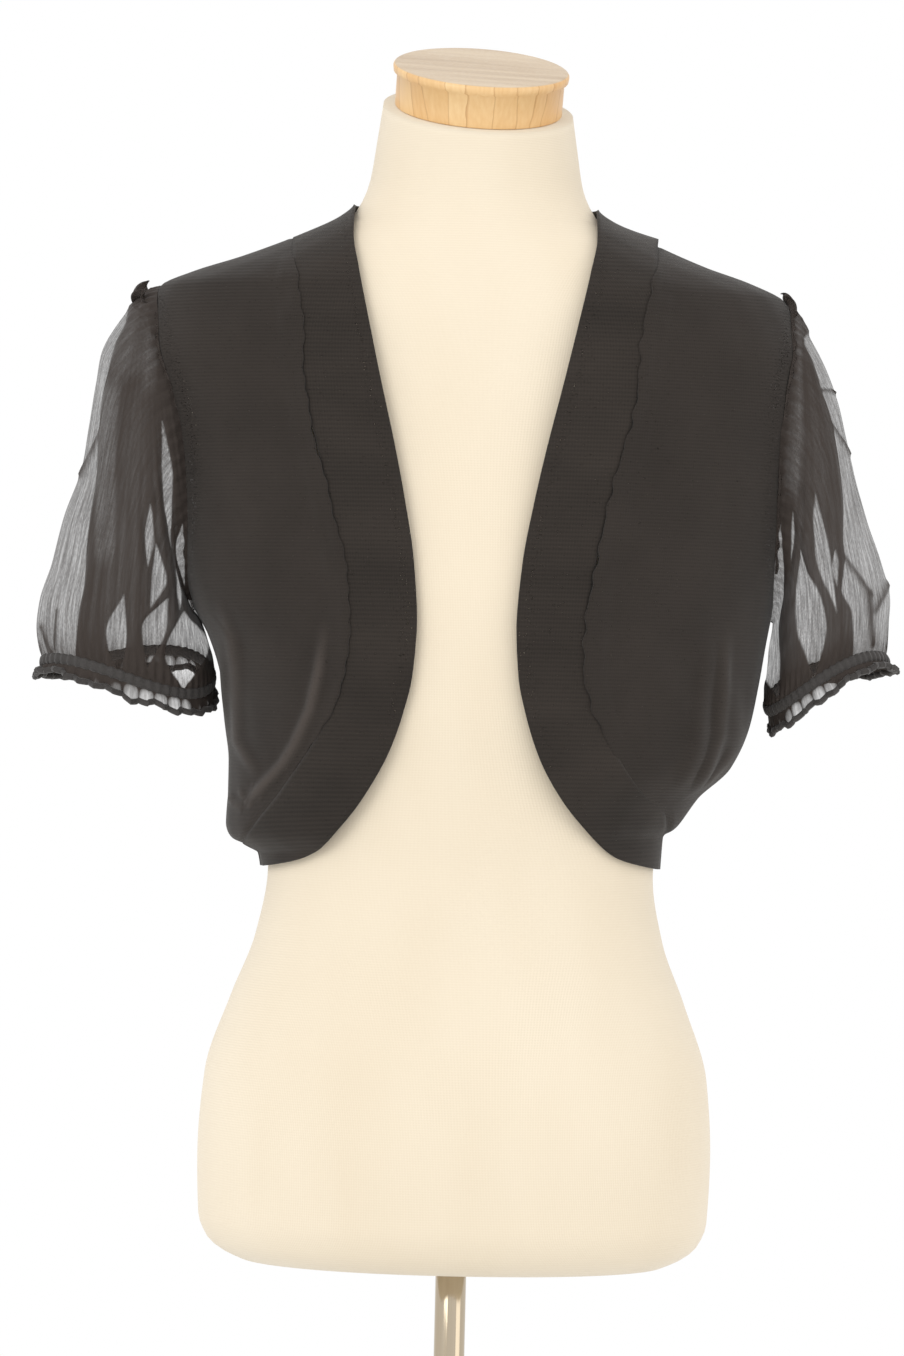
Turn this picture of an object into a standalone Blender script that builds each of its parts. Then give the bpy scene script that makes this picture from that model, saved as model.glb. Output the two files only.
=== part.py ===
"""Bolero cardigan of fine knit with short chiffon puff sleeves, resting on a dress form.

The tables are in millimetres and degrees, the meshes in metres. +Z is up, -Y is the front and
+X is the wearer's left. The floor is z = 0, the form's axis is the Z axis.
"""

from math import radians

import bpy
import numpy as np

MM = 0.001

# Walls and gaps
KNIT_WALL = 1.6
BAND_WALL = 2.0
CHIFFON_WALL = 1.0
SEAM_PULL = 0.3
RESTING_GAP = 0.3

# Dress form
TORSO_COLUMNS = ("height", "half_width", "front", "back", "centre", "power", "nod")
TORSO_ROWS = (
    (760, 138, 84, 94, 0, 2.15, 0),
    (765, 149, 94, 105, 0, 2.15, 0),
    (773, 159, 102, 114, 0, 2.15, 0),
    (788, 165, 108, 120, 0, 2.15, 0),
    (830, 166.5, 110, 123, 0, 2.15, 0),
    (880, 163, 107, 121, 0, 2.15, 0),
    (930, 147, 100, 110, 0, 2.15, 0),
    (970, 132, 95, 92, 0, 2.15, 0),
    (1012, 125, 94, 84, 0, 2.15, 0),
    (1040, 127, 97, 85, 0, 2.15, 0),
    (1080, 134, 104, 90, 0, 2.15, 0),
    (1120, 142, 113, 96, 0, 2.2, 0),
    (1180, 152, 119, 103, 0, 2.25, 0),
    (1240, 165, 112, 105, 0, 2.35, 0),
    (1300, 181, 98, 102, 0, 2.45, 0),
    (1345, 190, 88, 96, 0, 2.5, 0),
    (1372, 189, 83, 91, 0, 2.4, 0),
    (1390, 176, 78, 87, 0, 2.2, 0),
    (1408, 140, 72, 78, -1, 2.05, 0),
    (1420, 112, 67, 70, -2, 2, 0),
    (1432, 84, 62, 62, -3, 2, 0),
    (1445, 74, 60, 60, -4, 2, 2),
    (1458, 69, 58, 59, -6, 2, 6),
    (1482, 65, 57, 58, -9, 2, 13),
    (1506, 61.4, 57, 57, -12, 2, 20),
)
TORSO_AROUND = 32
NECK_LEAN = 3.2
POLE_RADIUS = 10
POLE_SIDES = 24
POLE_SLACK = 0.3
SOCKET_TOP = 960
CAP_RADIUS = 57
CAP_THICKNESS = 28
CAP_CHAMFER = 2
CAP_SIDES = 32
FOOT_FLOOR = 10
FOOT_COLUMNS = ("radius", "height")
FOOT_ROWS = (
    (170, 0),
    (170, 5),
    (167, 8),
    (30, 13),
    (23, 18),
    (23, 52),
    (20, 55),
)
FOOT_SIDES = 36

# Body cloth, the wall's inner side all round the form; left is the wearer's left, +X
CLOTH_COLUMNS = ("height", "left", "right", "front", "back", "centre", "power")
CLOTH_ROWS = (
    (1008, 127.3, 127.6, 96.5, 86.5, 0, 2.15),
    (1028, 128.6, 130, 98.5, 87.3, 0, 2.15),
    (1036, 129.5, 139.5, 100, 88, 0, 2.15),
    (1043, 137, 147.5, 101.5, 88.8, 0, 2.15),
    (1052, 144, 150.5, 103, 90, 0, 2.15),
    (1064, 154, 150.5, 106, 96, 0, 2.18),
    (1085, 173, 150.5, 110, 101, 0, 2.2),
    (1111, 184, 151.5, 115, 103, 0, 2.22),
    (1137, 189, 157, 119, 105, 0, 2.25),
    (1163, 193, 166, 122, 107, 0, 2.28),
    (1180, 196, 175, 122.5, 108, 0, 2.3),
    (1200, 199.5, 182, 121.5, 109, 0, 2.3),
    (1245, 207.5, 190, 116, 109, 0, 2.35),
    (1281, 212, 197, 109, 108, 0, 2.4),
    (1318, 216, 206, 101, 105, 0, 2.4),
    (1345, 216.5, 212, 95, 101, 0, 2.4),
    (1370, 210, 209, 89, 96, 0, 2.3),
    (1386, 201, 203, 84, 91, 0, 2.2),
    (1396, 181, 182, 81, 87, 0, 2.1),
    (1406, 151, 152, 77.5, 82, -1, 2.05),
    (1420, 116.5, 117, 71.5, 75, -2, 2),
    (1434, 88, 88, 66, 68, -3, 2),
    (1443, 77.6, 77.6, 63, 64, -4, 2),
    (1462, 72.5, 72.5, 60, 61.8, -6, 2),
)

# Near the hem the cloth is drawn up on the left and hangs down on the right: how far at that
# distance out, and the heights between which this comes and goes
HEM_LIFT_LEFT = 4
HEM_LIFT_RIGHT = -9
HEM_LIFT_REACH = 150
HEM_LIFT_FROM = 1000
HEM_LIFT_FULL = (1040, 1045)
HEM_LIFT_TO = 1085

# Steps in angle and height over which the cloth's normal is taken
NORMAL_TURN = 0.004
NORMAL_RISE = 0.5

# Heights at which the fronts and the back are cut by a level line; both share them at the seams
PANEL_HEIGHTS = (
    1418, 1408, 1398, 1393, 1386, 1382, 1374, 1362, 1345, 1325, 1303, 1281, 1259, 1238, 1217,
    1200, 1187, 1180, 1164, 1145, 1127, 1110, 1093, 1077, 1063, 1052, 1044, 1039.5,
)
FRONT_AROUND = 10
BACK_AROUND = 24

# Armhole: an upright oval cut in the side of the body cloth
ARMHOLE_TOP = 1386
ARMHOLE_BOTTOM = 1180
ARMHOLE_HALF_DEPTH = 52
TURN_STEP = 0.06

# Front band, shoulder to side waist: the seam to the panel and the free edge, as distances out
# from the middle and heights. No distance is taken past the side line, where the last row lies.
BAND_COLUMNS = ("seam_out", "seam_height", "edge_out", "edge_height")
BAND_ROWS = (
    (117, 1420, 78, 1443),
    (116, 1406, 77.5, 1420),
    (114, 1385, 73.5, 1397),
    (110, 1357, 67, 1367),
    (105, 1318, 57.5, 1325),
    (96, 1280, 48, 1285),
    (87, 1245, 40, 1247),
    (79.5, 1210, 33.8, 1210),
    (75.5, 1175, 31, 1172),
    (76, 1145, 33, 1140),
    (81, 1122, 38.5, 1115),
    (91, 1101, 47, 1090),
    (102, 1083, 60, 1066),
    (115, 1066, 77, 1044),
    (129, 1051, 98, 1025),
    (150, 1037, 150, 1016),
)
BAND_ACROSS = 3
NECK_BAND_RISE = 8
NECK_SEAM_DROP = 14
HEM_SEAM_RISE = 16
HEM_SEAM_FADE = 1110
HEM_AROUND = 24
NECK_AROUND = 16

# Folds in the panels: soft ridges from one place to another, angles from +X, front negative
FOLD_COLUMNS = ("angle_from", "height_from", "angle_to", "height_to", "half_width", "rise")
FOLD_ROWS = (
    (-121, 1170, -158, 1056, 11, 6),
    (-134, 1160, -170, 1072, 12, 5),
    (-150, 1165, -184, 1092, 13, 4),
    (-60, 1165, -24, 1064, 12, 5),
    (-46, 1170, -12, 1080, 12, 5),
    (-28, 1172, 2, 1104, 13, 4),
    (24, 1050, 16, 1128, 13, 4),
    (50, 1052, 44, 1118, 12, 5),
    (72, 1056, 75, 1140, 13, 5),
    (98, 1058, 95, 1115, 12, 5),
    (122, 1056, 127, 1135, 13, 5),
    (152, 1052, 160, 1122, 12, 5),
)
GIRTH_RADIUS = 130

# Sleeves: how far they run on from the armhole and at what angle from the cloth's normal there,
# then how they come down to the cuff, as offsets out from the body, towards the front and up
SLEEVE_COLUMNS = ("root_run", "root_lean", "cuff_out", "cuff_front", "cuff_up")
SLEEVE_ROWS = {
    "top": (40, 62, 6, 0, 64),
    "front": (33, 10, 0, 21, 54),
    "armpit": (12, 32, 6, 0, 18),
    "back": (31, 10, 0, -18, 52),
}
CUFF_COLUMNS = ("out", "front", "height", "half_out", "half_front", "tilt_out", "tilt_front", "bow", "twist")
CUFF_ROWS = {
    "left": (234, 0, 1146.8, 39, 36, 16.5, -2, -5.2, 4),
    "right": (219, 0, 1142.4, 56, 37, 4.5, -8, -2.2, 7),
}
SLEEVE_AROUND = 48
SLEEVE_STEPS = 8
ROOT_CLEARANCE = 1.2

# How far the sleeve's outer side lies off that curve, from the armhole, 0, down to the cuff, 1
OUTLINE_COLUMNS = ("down", "left", "right")
OUTLINE_ROWS = (
    (0, 0, 0),
    (0.1, -3.4, 2.1),
    (0.2, -6.2, 4.3),
    (0.27, -6.4, 5.5),
    (0.36, -7.1, 0.5),
    (0.46, -9.3, -4.9),
    (0.55, -10, -8.2),
    (0.65, -7.9, -4.6),
    (0.75, -2.3, -2.6),
    (0.84, 1.7, 2.3),
    (0.9, 0.5, 3.2),
    (1, 0, 0),
)

# Gathers: an even wave round the sleeve that drifts a little, and a few broad swells
SLEEVE_GATHERS = 12
GATHER_DRIFT = 0.6
GATHER_DEPTH = 4.2
GATHER_FADE = 1.2
GATHER_AT_CUFF = 0.5
GATHER_AT_SIDES = 0.35
SWELLS = 5
SWELL_SHARE = 0.35
SWELL_TURN = 1
CASING_HEIGHT = 5
CASING_WALL = 2.8
CASING_GAP = 1.2
RUFFLE_GAP = 0.6
RUFFLE_AROUND = 84
RUFFLE_WAVES = 21
RUFFLE_LENGTH = 7.5
RUFFLE_FLARE = 2.2
RUFFLE_WAVE = 1.8
FRILL_TALL = 8.5
FRILL_LOW = 2.4
FRILL_REACH = 135
FRILL_CREST = 30
FRILL_FULL = 10
FRILL_CREST_STEPS = 20
FRILL_FOOT_STEPS = 9
FRILL_WAVES = 22
FRILL_WAVE = 3.4
FRILL_LEAN = 0.3
FRILL_GAP = 1.3
FRILL_SHARES = (1, 0.5, 0)
SHARP_ANGLE = 40

# Colour, roughness and metallic value of each finish
FINISHES = {
    "jersey": ((0.93, 0.87, 0.74, 1), 0.85, 0),
    "wood": ((0.80, 0.60, 0.36, 1), 0.45, 0),
    "chrome": ((0.75, 0.73, 0.70, 1), 0.12, 1),
    "steel": ((0.62, 0.60, 0.58, 1), 0.35, 1),
    "knit": ((0.020, 0.017, 0.015, 1), 0.9, 0),
    "band": ((0.018, 0.015, 0.014, 1), 0.9, 0),
    "chiffon": ((0.03, 0.027, 0.026, 1), 0.7, 0),
}


def table(columns, rows):
    """A dictionary of arrays, one for each named column."""
    return dict(zip(columns, np.array(rows, float).T))


TORSO = table(TORSO_COLUMNS, TORSO_ROWS)
CLOTH = table(CLOTH_COLUMNS, CLOTH_ROWS)
BAND = table(BAND_COLUMNS, BAND_ROWS)
FOOT = table(FOOT_COLUMNS, FOOT_ROWS)
OUTLINE = table(OUTLINE_COLUMNS, OUTLINE_ROWS)


def smooth(x, knots, values):
    """Cubic curve through the knots whose slope there is the harmonic mean of the chords'."""
    width = np.diff(knots)
    chord = np.diff(values) / width
    product = chord[:-1] * chord[1:]
    total = np.where(product > 0, chord[:-1] + chord[1:], 1)
    slope = np.concatenate(([chord[0]], np.where(product > 0, 2 * product / total, 0), [chord[-1]]))
    i = np.clip(np.searchsorted(knots, x) - 1, 0, len(width) - 1)
    u = np.clip((x - knots[i]) / width[i], 0, 1)
    rising = u * u * (3 - 2 * u)
    bend = u * (1 - u) * ((1 - u) * slope[i] - u * slope[i + 1]) * width[i]
    return values[i] + (values[i + 1] - values[i]) * rising + bend


def step(x, low, high):
    """0 below low, 1 above high and a smooth rise between."""
    u = np.clip((x - low) / (high - low), 0, 1)
    return u * u * (3 - 2 * u)


def unit(vectors):
    """The vectors at length 1."""
    return vectors / np.maximum(np.linalg.norm(vectors, axis=-1, keepdims=True), 1e-9)


def oval(t, power):
    """Point at angle t on |x|^power + |y|^power = 1, as (x, y)."""
    c, s = np.cos(t), np.sin(t)
    reach = (np.abs(c) ** power + np.abs(s) ** power) ** (-1 / power)
    return c * reach, s * reach


def torso_point(t, z):
    """Oval rings whose widths and depths follow the torso's rows; the neck rings nod forward."""
    x, y = oval(t, smooth(z, TORSO["height"], TORSO["power"]))
    front = smooth(z, TORSO["height"], TORSO["front"])
    back = smooth(z, TORSO["height"], TORSO["back"])
    y = y * np.where(y < 0, front, back)
    x = x * smooth(z, TORSO["height"], TORSO["half_width"])
    nod = np.radians(smooth(z, TORSO["height"], TORSO["nod"]))
    lean = np.tan(nod * NECK_LEAN / TORSO["nod"].max())
    centre = smooth(z, TORSO["height"], TORSO["centre"])
    return np.stack((x, y + centre, z + y * np.tan(nod) - x * lean), -1)


def plain_cloth(t, z):
    """Oval rings round the form, each with its own reach to the left, right, front and back. Near
    the hem a ring is moved up or down by the square of the distance out."""
    x, y = oval(t, smooth(z, CLOTH["height"], CLOTH["power"]))
    left = smooth(z, CLOTH["height"], CLOTH["left"])
    right = smooth(z, CLOTH["height"], CLOTH["right"])
    front = smooth(z, CLOTH["height"], CLOTH["front"])
    back = smooth(z, CLOTH["height"], CLOTH["back"])
    centre = smooth(z, CLOTH["height"], CLOTH["centre"])
    x = x * np.where(x > 0, left, right)
    y = y * np.where(y < 0, front, back) + centre
    lift = np.where(x > 0, HEM_LIFT_LEFT, HEM_LIFT_RIGHT) * (x / HEM_LIFT_REACH) ** 2
    near_hem = step(z, HEM_LIFT_FROM, HEM_LIFT_FULL[0]) * (1 - step(z, HEM_LIFT_FULL[1], HEM_LIFT_TO))
    return np.stack((x, y, z + lift * near_hem), -1)


def normal_of(surface, t, z):
    """Outward normal of surface(t, z): the cross product of its two difference vectors."""
    along = surface(t + NORMAL_TURN, z) - surface(t - NORMAL_TURN, z)
    up = surface(t, z + NORMAL_RISE) - surface(t, z - NORMAL_RISE)
    return unit(np.cross(along, up))


def fold_rise(t, z):
    """Sum of ridges: a bell across each fold's line, and a half sine's root along it."""
    total = np.zeros(np.broadcast(t, z).shape)
    for row in FOLD_ROWS:
        fold = dict(zip(FOLD_COLUMNS, row))
        start = np.array((radians(fold["angle_from"]) * GIRTH_RADIUS, fold["height_from"]))
        run = np.array((radians(fold["angle_to"]) * GIRTH_RADIUS, fold["height_to"])) - start
        length = np.hypot(*run)
        for turn in (0, 2 * np.pi):
            dx = (t - turn) * GIRTH_RADIUS - start[0]
            dz = z - start[1]
            along = (dx * run[0] + dz * run[1]) / length**2
            across = (dx * run[1] - dz * run[0]) / length
            fade = np.sqrt(np.clip(4 * along * (1 - along), 0, 1))
            total = total + fold["rise"] * fade * np.exp(-((across / fold["half_width"]) ** 2))
    return total


def cloth_point(t, z):
    """The cloth's inner side: the plain rings moved out by the folds."""
    return plain_cloth(t, z) + normal_of(plain_cloth, t, z) * fold_rise(t, z)[..., None]


def angle_at(out, z, side):
    """Front angle at which the ring at height z is that far out from the middle."""
    reach = smooth(z, CLOTH["height"], CLOTH["left" if side > 0 else "right"])
    power = smooth(z, CLOTH["height"], CLOTH["power"])
    share = np.clip(out / reach, 0, 1)
    angle = np.arctan2((1 - share**power) ** (1 / power), share)
    return -angle if side > 0 else angle - np.pi


def armhole_angle(z, side, back):
    """Angle of the armhole's edge at height z, and the side line above and below the armhole."""
    middle = (ARMHOLE_TOP + ARMHOLE_BOTTOM) / 2
    share = (z - middle) / (ARMHOLE_TOP - middle)
    depth = ARMHOLE_HALF_DEPTH * np.sqrt(np.clip(1 - share**2, 0, 1))
    power = smooth(z, CLOTH["height"], CLOTH["power"])
    whole = smooth(z, CLOTH["height"], CLOTH["back" if back else "front"])
    angle = np.arctan2(depth / whole, (1 - (depth / whole) ** power) ** (1 / power))
    if back:
        return angle if side > 0 else np.pi - angle
    return -angle if side > 0 else angle - np.pi


def band_lines(side, seam_heights):
    """Angles and heights of the band's seam and free edge where its seam has those heights."""
    station = np.arange(len(BAND_ROWS), dtype=float)
    place = smooth(-np.asarray(seam_heights, float), -BAND["seam_height"], station)
    lines = []
    for line in ("seam", "edge"):
        height = smooth(place, station, BAND[f"{line}_height"])
        reach = smooth(BAND[f"{line}_height"], CLOTH["height"], CLOTH["left" if side > 0 else "right"])
        out = smooth(place, station, np.minimum(BAND[f"{line}_out"], reach))
        lines.append((angle_at(out, height, side), height))
    return lines


def pull_in(grid):
    """The grid with its border moved inwards, so that neighbours keep a seam's gap."""
    moved = grid.copy()
    moved[0] += SEAM_PULL * unit(grid[1] - grid[0])
    moved[-1] += SEAM_PULL * unit(grid[-2] - grid[-1])
    moved[:, 0] += SEAM_PULL * unit(grid[:, 1] - grid[:, 0])
    moved[:, -1] += SEAM_PULL * unit(grid[:, -2] - grid[:, -1])
    return moved


def finish(name):
    """The named finish as a material, made once."""
    found = bpy.data.materials.get(name)
    if found:
        return found
    colour, roughness, metallic = FINISHES[name]
    material = bpy.data.materials.new(name)
    material.use_nodes = True
    shader = material.node_tree.nodes["Principled BSDF"]
    shader.inputs["Base Color"].default_value = colour
    shader.inputs["Roughness"].default_value = roughness
    shader.inputs["Metallic"].default_value = metallic
    material.diffuse_color = colour
    return material


def make_object(name, points, faces, finish_name):
    """A mesh object from points in millimetres and faces."""
    mesh = bpy.data.meshes.new(name)
    mesh.from_pydata((np.asarray(points) * MM).tolist(), [], faces)
    mesh.validate()
    mesh.shade_smooth()
    mesh.set_sharp_from_angle(angle=radians(SHARP_ANGLE))
    mesh.materials.append(finish(finish_name))
    made = bpy.data.objects.new(name, mesh)
    bpy.context.scene.collection.objects.link(made)
    return made


def wall(name, inner, outer, finish_name, round_trip=False):
    """A closed wall between two grids of points, rows by columns; a round trip joins its ends.
    The columns are taken backwards where the faces would otherwise look inwards."""
    facing = np.cross(outer[:-1, 1:] - outer[:-1, :-1], outer[1:, :-1] - outer[:-1, :-1])
    if np.sum(facing * (outer - inner)[:-1, :-1]) < 0:
        inner, outer = inner[:, ::-1], outer[:, ::-1]
    rows, columns = inner.shape[:2]
    number = np.arange(rows * columns).reshape(rows, columns)
    if round_trip:
        number = np.concatenate((number, number[:, :1]), 1)
    other = number + rows * columns

    def quads(a, b, c, d):
        return np.stack((a.ravel(), b.ravel(), c.ravel(), d.ravel()), 1).tolist()

    faces = quads(other[:-1, :-1], other[:-1, 1:], other[1:, 1:], other[1:, :-1])
    faces += quads(number[:-1, :-1], number[1:, :-1], number[1:, 1:], number[:-1, 1:])
    faces += quads(number[0, :-1], number[0, 1:], other[0, 1:], other[0, :-1])
    faces += quads(number[-1, 1:], number[-1, :-1], other[-1, :-1], other[-1, 1:])
    if not round_trip:
        faces += quads(number[1:, 0], number[:-1, 0], other[:-1, 0], other[1:, 0])
        faces += quads(number[:-1, -1], number[1:, -1], other[1:, -1], other[:-1, -1])
    points = np.concatenate((inner.reshape(-1, 3), outer.reshape(-1, 3)))
    return make_object(name, points, faces, finish_name)


def cloth_wall(name, t, z, thickness, finish_name):
    """A piece of the body cloth: its inner side on the cloth's form, its outer side a wall away."""
    inner = cloth_point(t, z)
    outer = inner + thickness * normal_of(cloth_point, t, z)
    return wall(name, pull_in(inner), pull_in(outer), finish_name)


def turned(name, radii, heights, sides, finish_name):
    """A solid of revolution: level rings joined in order, with a centre point at each end."""
    t = np.arange(sides) * 2 * np.pi / sides
    radii, heights = np.asarray(radii, float), np.asarray(heights, float)
    across = np.outer(radii, np.cos(t))
    forth = np.outer(radii, np.sin(t))
    rings = np.stack((across, forth, np.repeat(heights[:, None], sides, 1)), -1)
    return capped(name, rings, finish_name)


def capped(name, rings, finish_name):
    """Rings of points joined in order, bottom first, and closed by a fan at each end."""
    count, sides = rings.shape[:2]
    number = np.arange(count * sides).reshape(count, sides)
    number = np.concatenate((number, number[:, :1]), 1)
    corners = (number[:-1, :-1], number[:-1, 1:], number[1:, 1:], number[1:, :-1])
    faces = np.stack(corners, -1).reshape(-1, 4).tolist()
    low, high = count * sides, count * sides + 1
    faces += [[low, b, a] for a, b in zip(number[0, :-1].tolist(), number[0, 1:].tolist())]
    faces += [[high, a, b] for a, b in zip(number[-1, :-1].tolist(), number[-1, 1:].tolist())]
    points = np.concatenate((rings.reshape(-1, 3), [rings[0].mean(0)], [rings[-1].mean(0)]))
    return make_object(name, points, faces, finish_name)


def make_form():
    """Padded torso with a socket for the pole, the wooden neck cap, the pole and its foot."""
    t = np.arange(TORSO_AROUND) * 2 * np.pi / TORSO_AROUND
    body = torso_point(t[None, :], TORSO["height"][:, None])
    socket_radius = POLE_RADIUS + POLE_SLACK
    circle = np.stack((socket_radius * np.cos(t), socket_radius * np.sin(t), np.zeros(len(t))), -1)
    socket = np.stack((circle + (0, 0, SOCKET_TOP), circle + (0, 0, TORSO["height"][0])))
    capped("form_torso", np.concatenate((socket, body)), "jersey")

    foot_radii = np.concatenate((FOOT["radius"], [socket_radius, socket_radius]))
    foot_heights = np.concatenate((FOOT["height"], [FOOT["height"][-1], FOOT_FLOOR]))
    turned("form_base", foot_radii, foot_heights, FOOT_SIDES, "steel")
    pole_ends = (FOOT_FLOOR + RESTING_GAP, SOCKET_TOP - RESTING_GAP)
    turned("form_pole", (POLE_RADIUS, POLE_RADIUS), pole_ends, POLE_SIDES, "chrome")

    top = body[-1]
    quarter = TORSO_AROUND // 4
    axis = unit(np.cross(top[0] - top[2 * quarter], top[quarter] - top[3 * quarter]))
    across = unit(np.cross((0, 1, 0), axis))
    around = np.cross(axis, across)
    turn = np.arange(CAP_SIDES) * 2 * np.pi / CAP_SIDES
    circle = np.outer(np.cos(turn), across) + np.outer(np.sin(turn), around)
    profile = (
        (CAP_RADIUS - CAP_CHAMFER, 0),
        (CAP_RADIUS, CAP_THICKNESS - 2 * CAP_CHAMFER),
        (CAP_RADIUS, CAP_THICKNESS - CAP_CHAMFER),
        (CAP_RADIUS - CAP_CHAMFER, CAP_THICKNESS),
    )
    centre = top.mean(0) + axis * RESTING_GAP
    rings = np.stack([centre + circle * radius + axis * height for radius, height in profile])
    capped("form_neck_cap", rings, "wood")


def front_rows(side):
    """Angles and heights of a front panel: level rows from the band's seam to the side."""
    heights = np.array(PANEL_HEIGHTS, float)
    (seam_angle, _), _ = band_lines(side, heights)
    outer_angle = armhole_angle(heights, side, back=False)
    share = np.linspace(0, 1, FRONT_AROUND + 1)
    t = seam_angle[:, None] + (outer_angle - seam_angle)[:, None] * share
    return t, np.repeat(heights[:, None], FRONT_AROUND + 1, 1)


def back_rows():
    """Angles and heights of the back: rows that sag at the neck seam and rise at the hem seam."""
    ends = BAND["seam_height"][[0, -1]]
    heights = np.concatenate((ends[:1], PANEL_HEIGHTS, ends[1:]))
    first = armhole_angle(heights, 1, back=True)
    last = armhole_angle(heights, -1, back=True)
    share = np.linspace(0, 1, BACK_AROUND + 1)
    t = first[:, None] + (last - first)[:, None] * share
    middle = np.sin(t) ** 2
    at_neck = step(heights, ARMHOLE_TOP, ends[0])[:, None]
    at_hem = 1 - step(heights, ends[1], HEM_SEAM_FADE)[:, None]
    z = heights[:, None] + middle * (HEM_SEAM_RISE * at_hem - NECK_SEAM_DROP * at_neck)
    return t, z


def make_body():
    """Back, two fronts and the band in four stretches: neck, left front, right front and hem."""
    t, z = back_rows()
    cloth_wall("back_panel", t, z, KNIT_WALL, "knit")
    across = np.linspace(0, 1, BAND_ACROSS + 1)
    for side, name in ((1, "left"), (-1, "right")):
        t, z = front_rows(side)
        cloth_wall(f"front_panel_{name}", t, z, KNIT_WALL, "knit")
        seam_heights = np.concatenate(
            ([BAND["seam_height"][0]], PANEL_HEIGHTS, [BAND["seam_height"][-1]])
        )
        seam, edge = band_lines(side, seam_heights)
        t = edge[0][:, None] + (seam[0] - edge[0])[:, None] * across
        z = edge[1][:, None] + (seam[1] - edge[1])[:, None] * across
        cloth_wall(f"band_front_{name}", t, z, BAND_WALL, "band")

    t = np.linspace(0, np.pi, NECK_AROUND + 1)
    arc = np.sin(t) ** 2
    edge = BAND["edge_height"][0] + NECK_BAND_RISE * arc
    seam = BAND["seam_height"][0] - NECK_SEAM_DROP * arc
    z = seam + (edge - seam) * across[:, None]
    cloth_wall("band_neck", np.repeat(t[None], len(across), 0), z, BAND_WALL, "band")

    t = np.linspace(0, np.pi, HEM_AROUND + 1)
    seam = BAND["seam_height"][-1] + HEM_SEAM_RISE * np.sin(t) ** 2
    z = BAND["edge_height"][-1] + (seam - BAND["edge_height"][-1]) * across[:, None]
    cloth_wall("band_hem", np.repeat(t[None], len(across), 0), z, BAND_WALL, "band")


def armhole_outline(side, turns):
    """Edge of the armhole at those turns, 0 at the top and a quarter at the front: the points,
    the cloth's normals and the directions into the opening. It runs straight between the panels'
    own corners."""
    heights = np.array([h for h in PANEL_HEIGHTS if ARMHOLE_BOTTOM <= h <= ARMHOLE_TOP], float)
    middle = (ARMHOLE_TOP + ARMHOLE_BOTTOM) / 2
    front_turn = np.arccos(np.clip((heights - middle) / (ARMHOLE_TOP - middle), -1, 1))
    turn = np.concatenate((front_turn, 2 * np.pi - front_turn[-2::-1]))
    t = np.concatenate((armhole_angle(heights, side, False), armhole_angle(heights, side, True)[-2::-1]))
    if side < 0:
        t = np.where(t < -np.pi / 2, t + 2 * np.pi, t)
    z = np.concatenate((heights, heights[-2::-1]))
    corner = cloth_point(t, z)
    normal = normal_of(cloth_point, t, z)

    def between(values, at):
        return np.stack([np.interp(at % (2 * np.pi), turn, values[:, k]) for k in range(3)], -1)

    points = between(corner, turns)
    normals = unit(between(normal, turns))
    tangent = between(corner, turns + TURN_STEP) - between(corner, turns - TURN_STEP)
    inwards = unit(np.cross(normals, tangent))
    inwards *= np.sign(np.sum(inwards * (corner.mean(0) - points), -1, keepdims=True))
    return points, normals, inwards


def cuff_line(side, turns, name):
    """Oval cuff line, tilted, bowed and twisted, and the downward normal of its tilted plane."""
    cuff = dict(zip(CUFF_COLUMNS, CUFF_ROWS[name]))
    c, s = np.cos(turns), np.sin(turns)
    height = cuff["height"] + cuff["tilt_out"] * c + cuff["tilt_front"] * s
    height = height + cuff["bow"] * np.cos(2 * turns) + cuff["twist"] * np.sin(2 * turns)
    out = cuff["out"] + cuff["half_out"] * c
    front = cuff["front"] + cuff["half_front"] * s
    slope_out = cuff["tilt_out"] / cuff["half_out"]
    slope_front = cuff["tilt_front"] / cuff["half_front"]
    down = unit(np.array((side * slope_out, -slope_front, -1.0)))
    return np.stack((side * out, -front, height), -1), down


def by_turn(column, turns):
    """A sleeve value that is the top's, front's, armpit's and back's at the quarter turns."""
    i = SLEEVE_COLUMNS.index(column)
    c, s = np.cos(turns), np.sin(turns)
    shares = {
        "top": np.where(c > 0, c * c, 0),
        "front": np.where(s > 0, s * s, 0),
        "armpit": np.where(c < 0, c * c, 0),
        "back": np.where(s < 0, s * s, 0),
    }
    return sum(shares[row] * SLEEVE_ROWS[row][i] for row in SLEEVE_ROWS)


def grid_normals(grid):
    """Normals of a grid whose columns run round, from its neighbours' differences."""
    around = np.roll(grid, -1, 1) - np.roll(grid, 1, 1)
    down = np.gradient(grid, axis=0)
    return unit(np.cross(around, down))


def open_grid_normals(grid):
    """Normals of a grid whose columns have two ends, from its neighbours' differences."""
    return unit(np.cross(np.gradient(grid, axis=1), np.gradient(grid, axis=0)))


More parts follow.
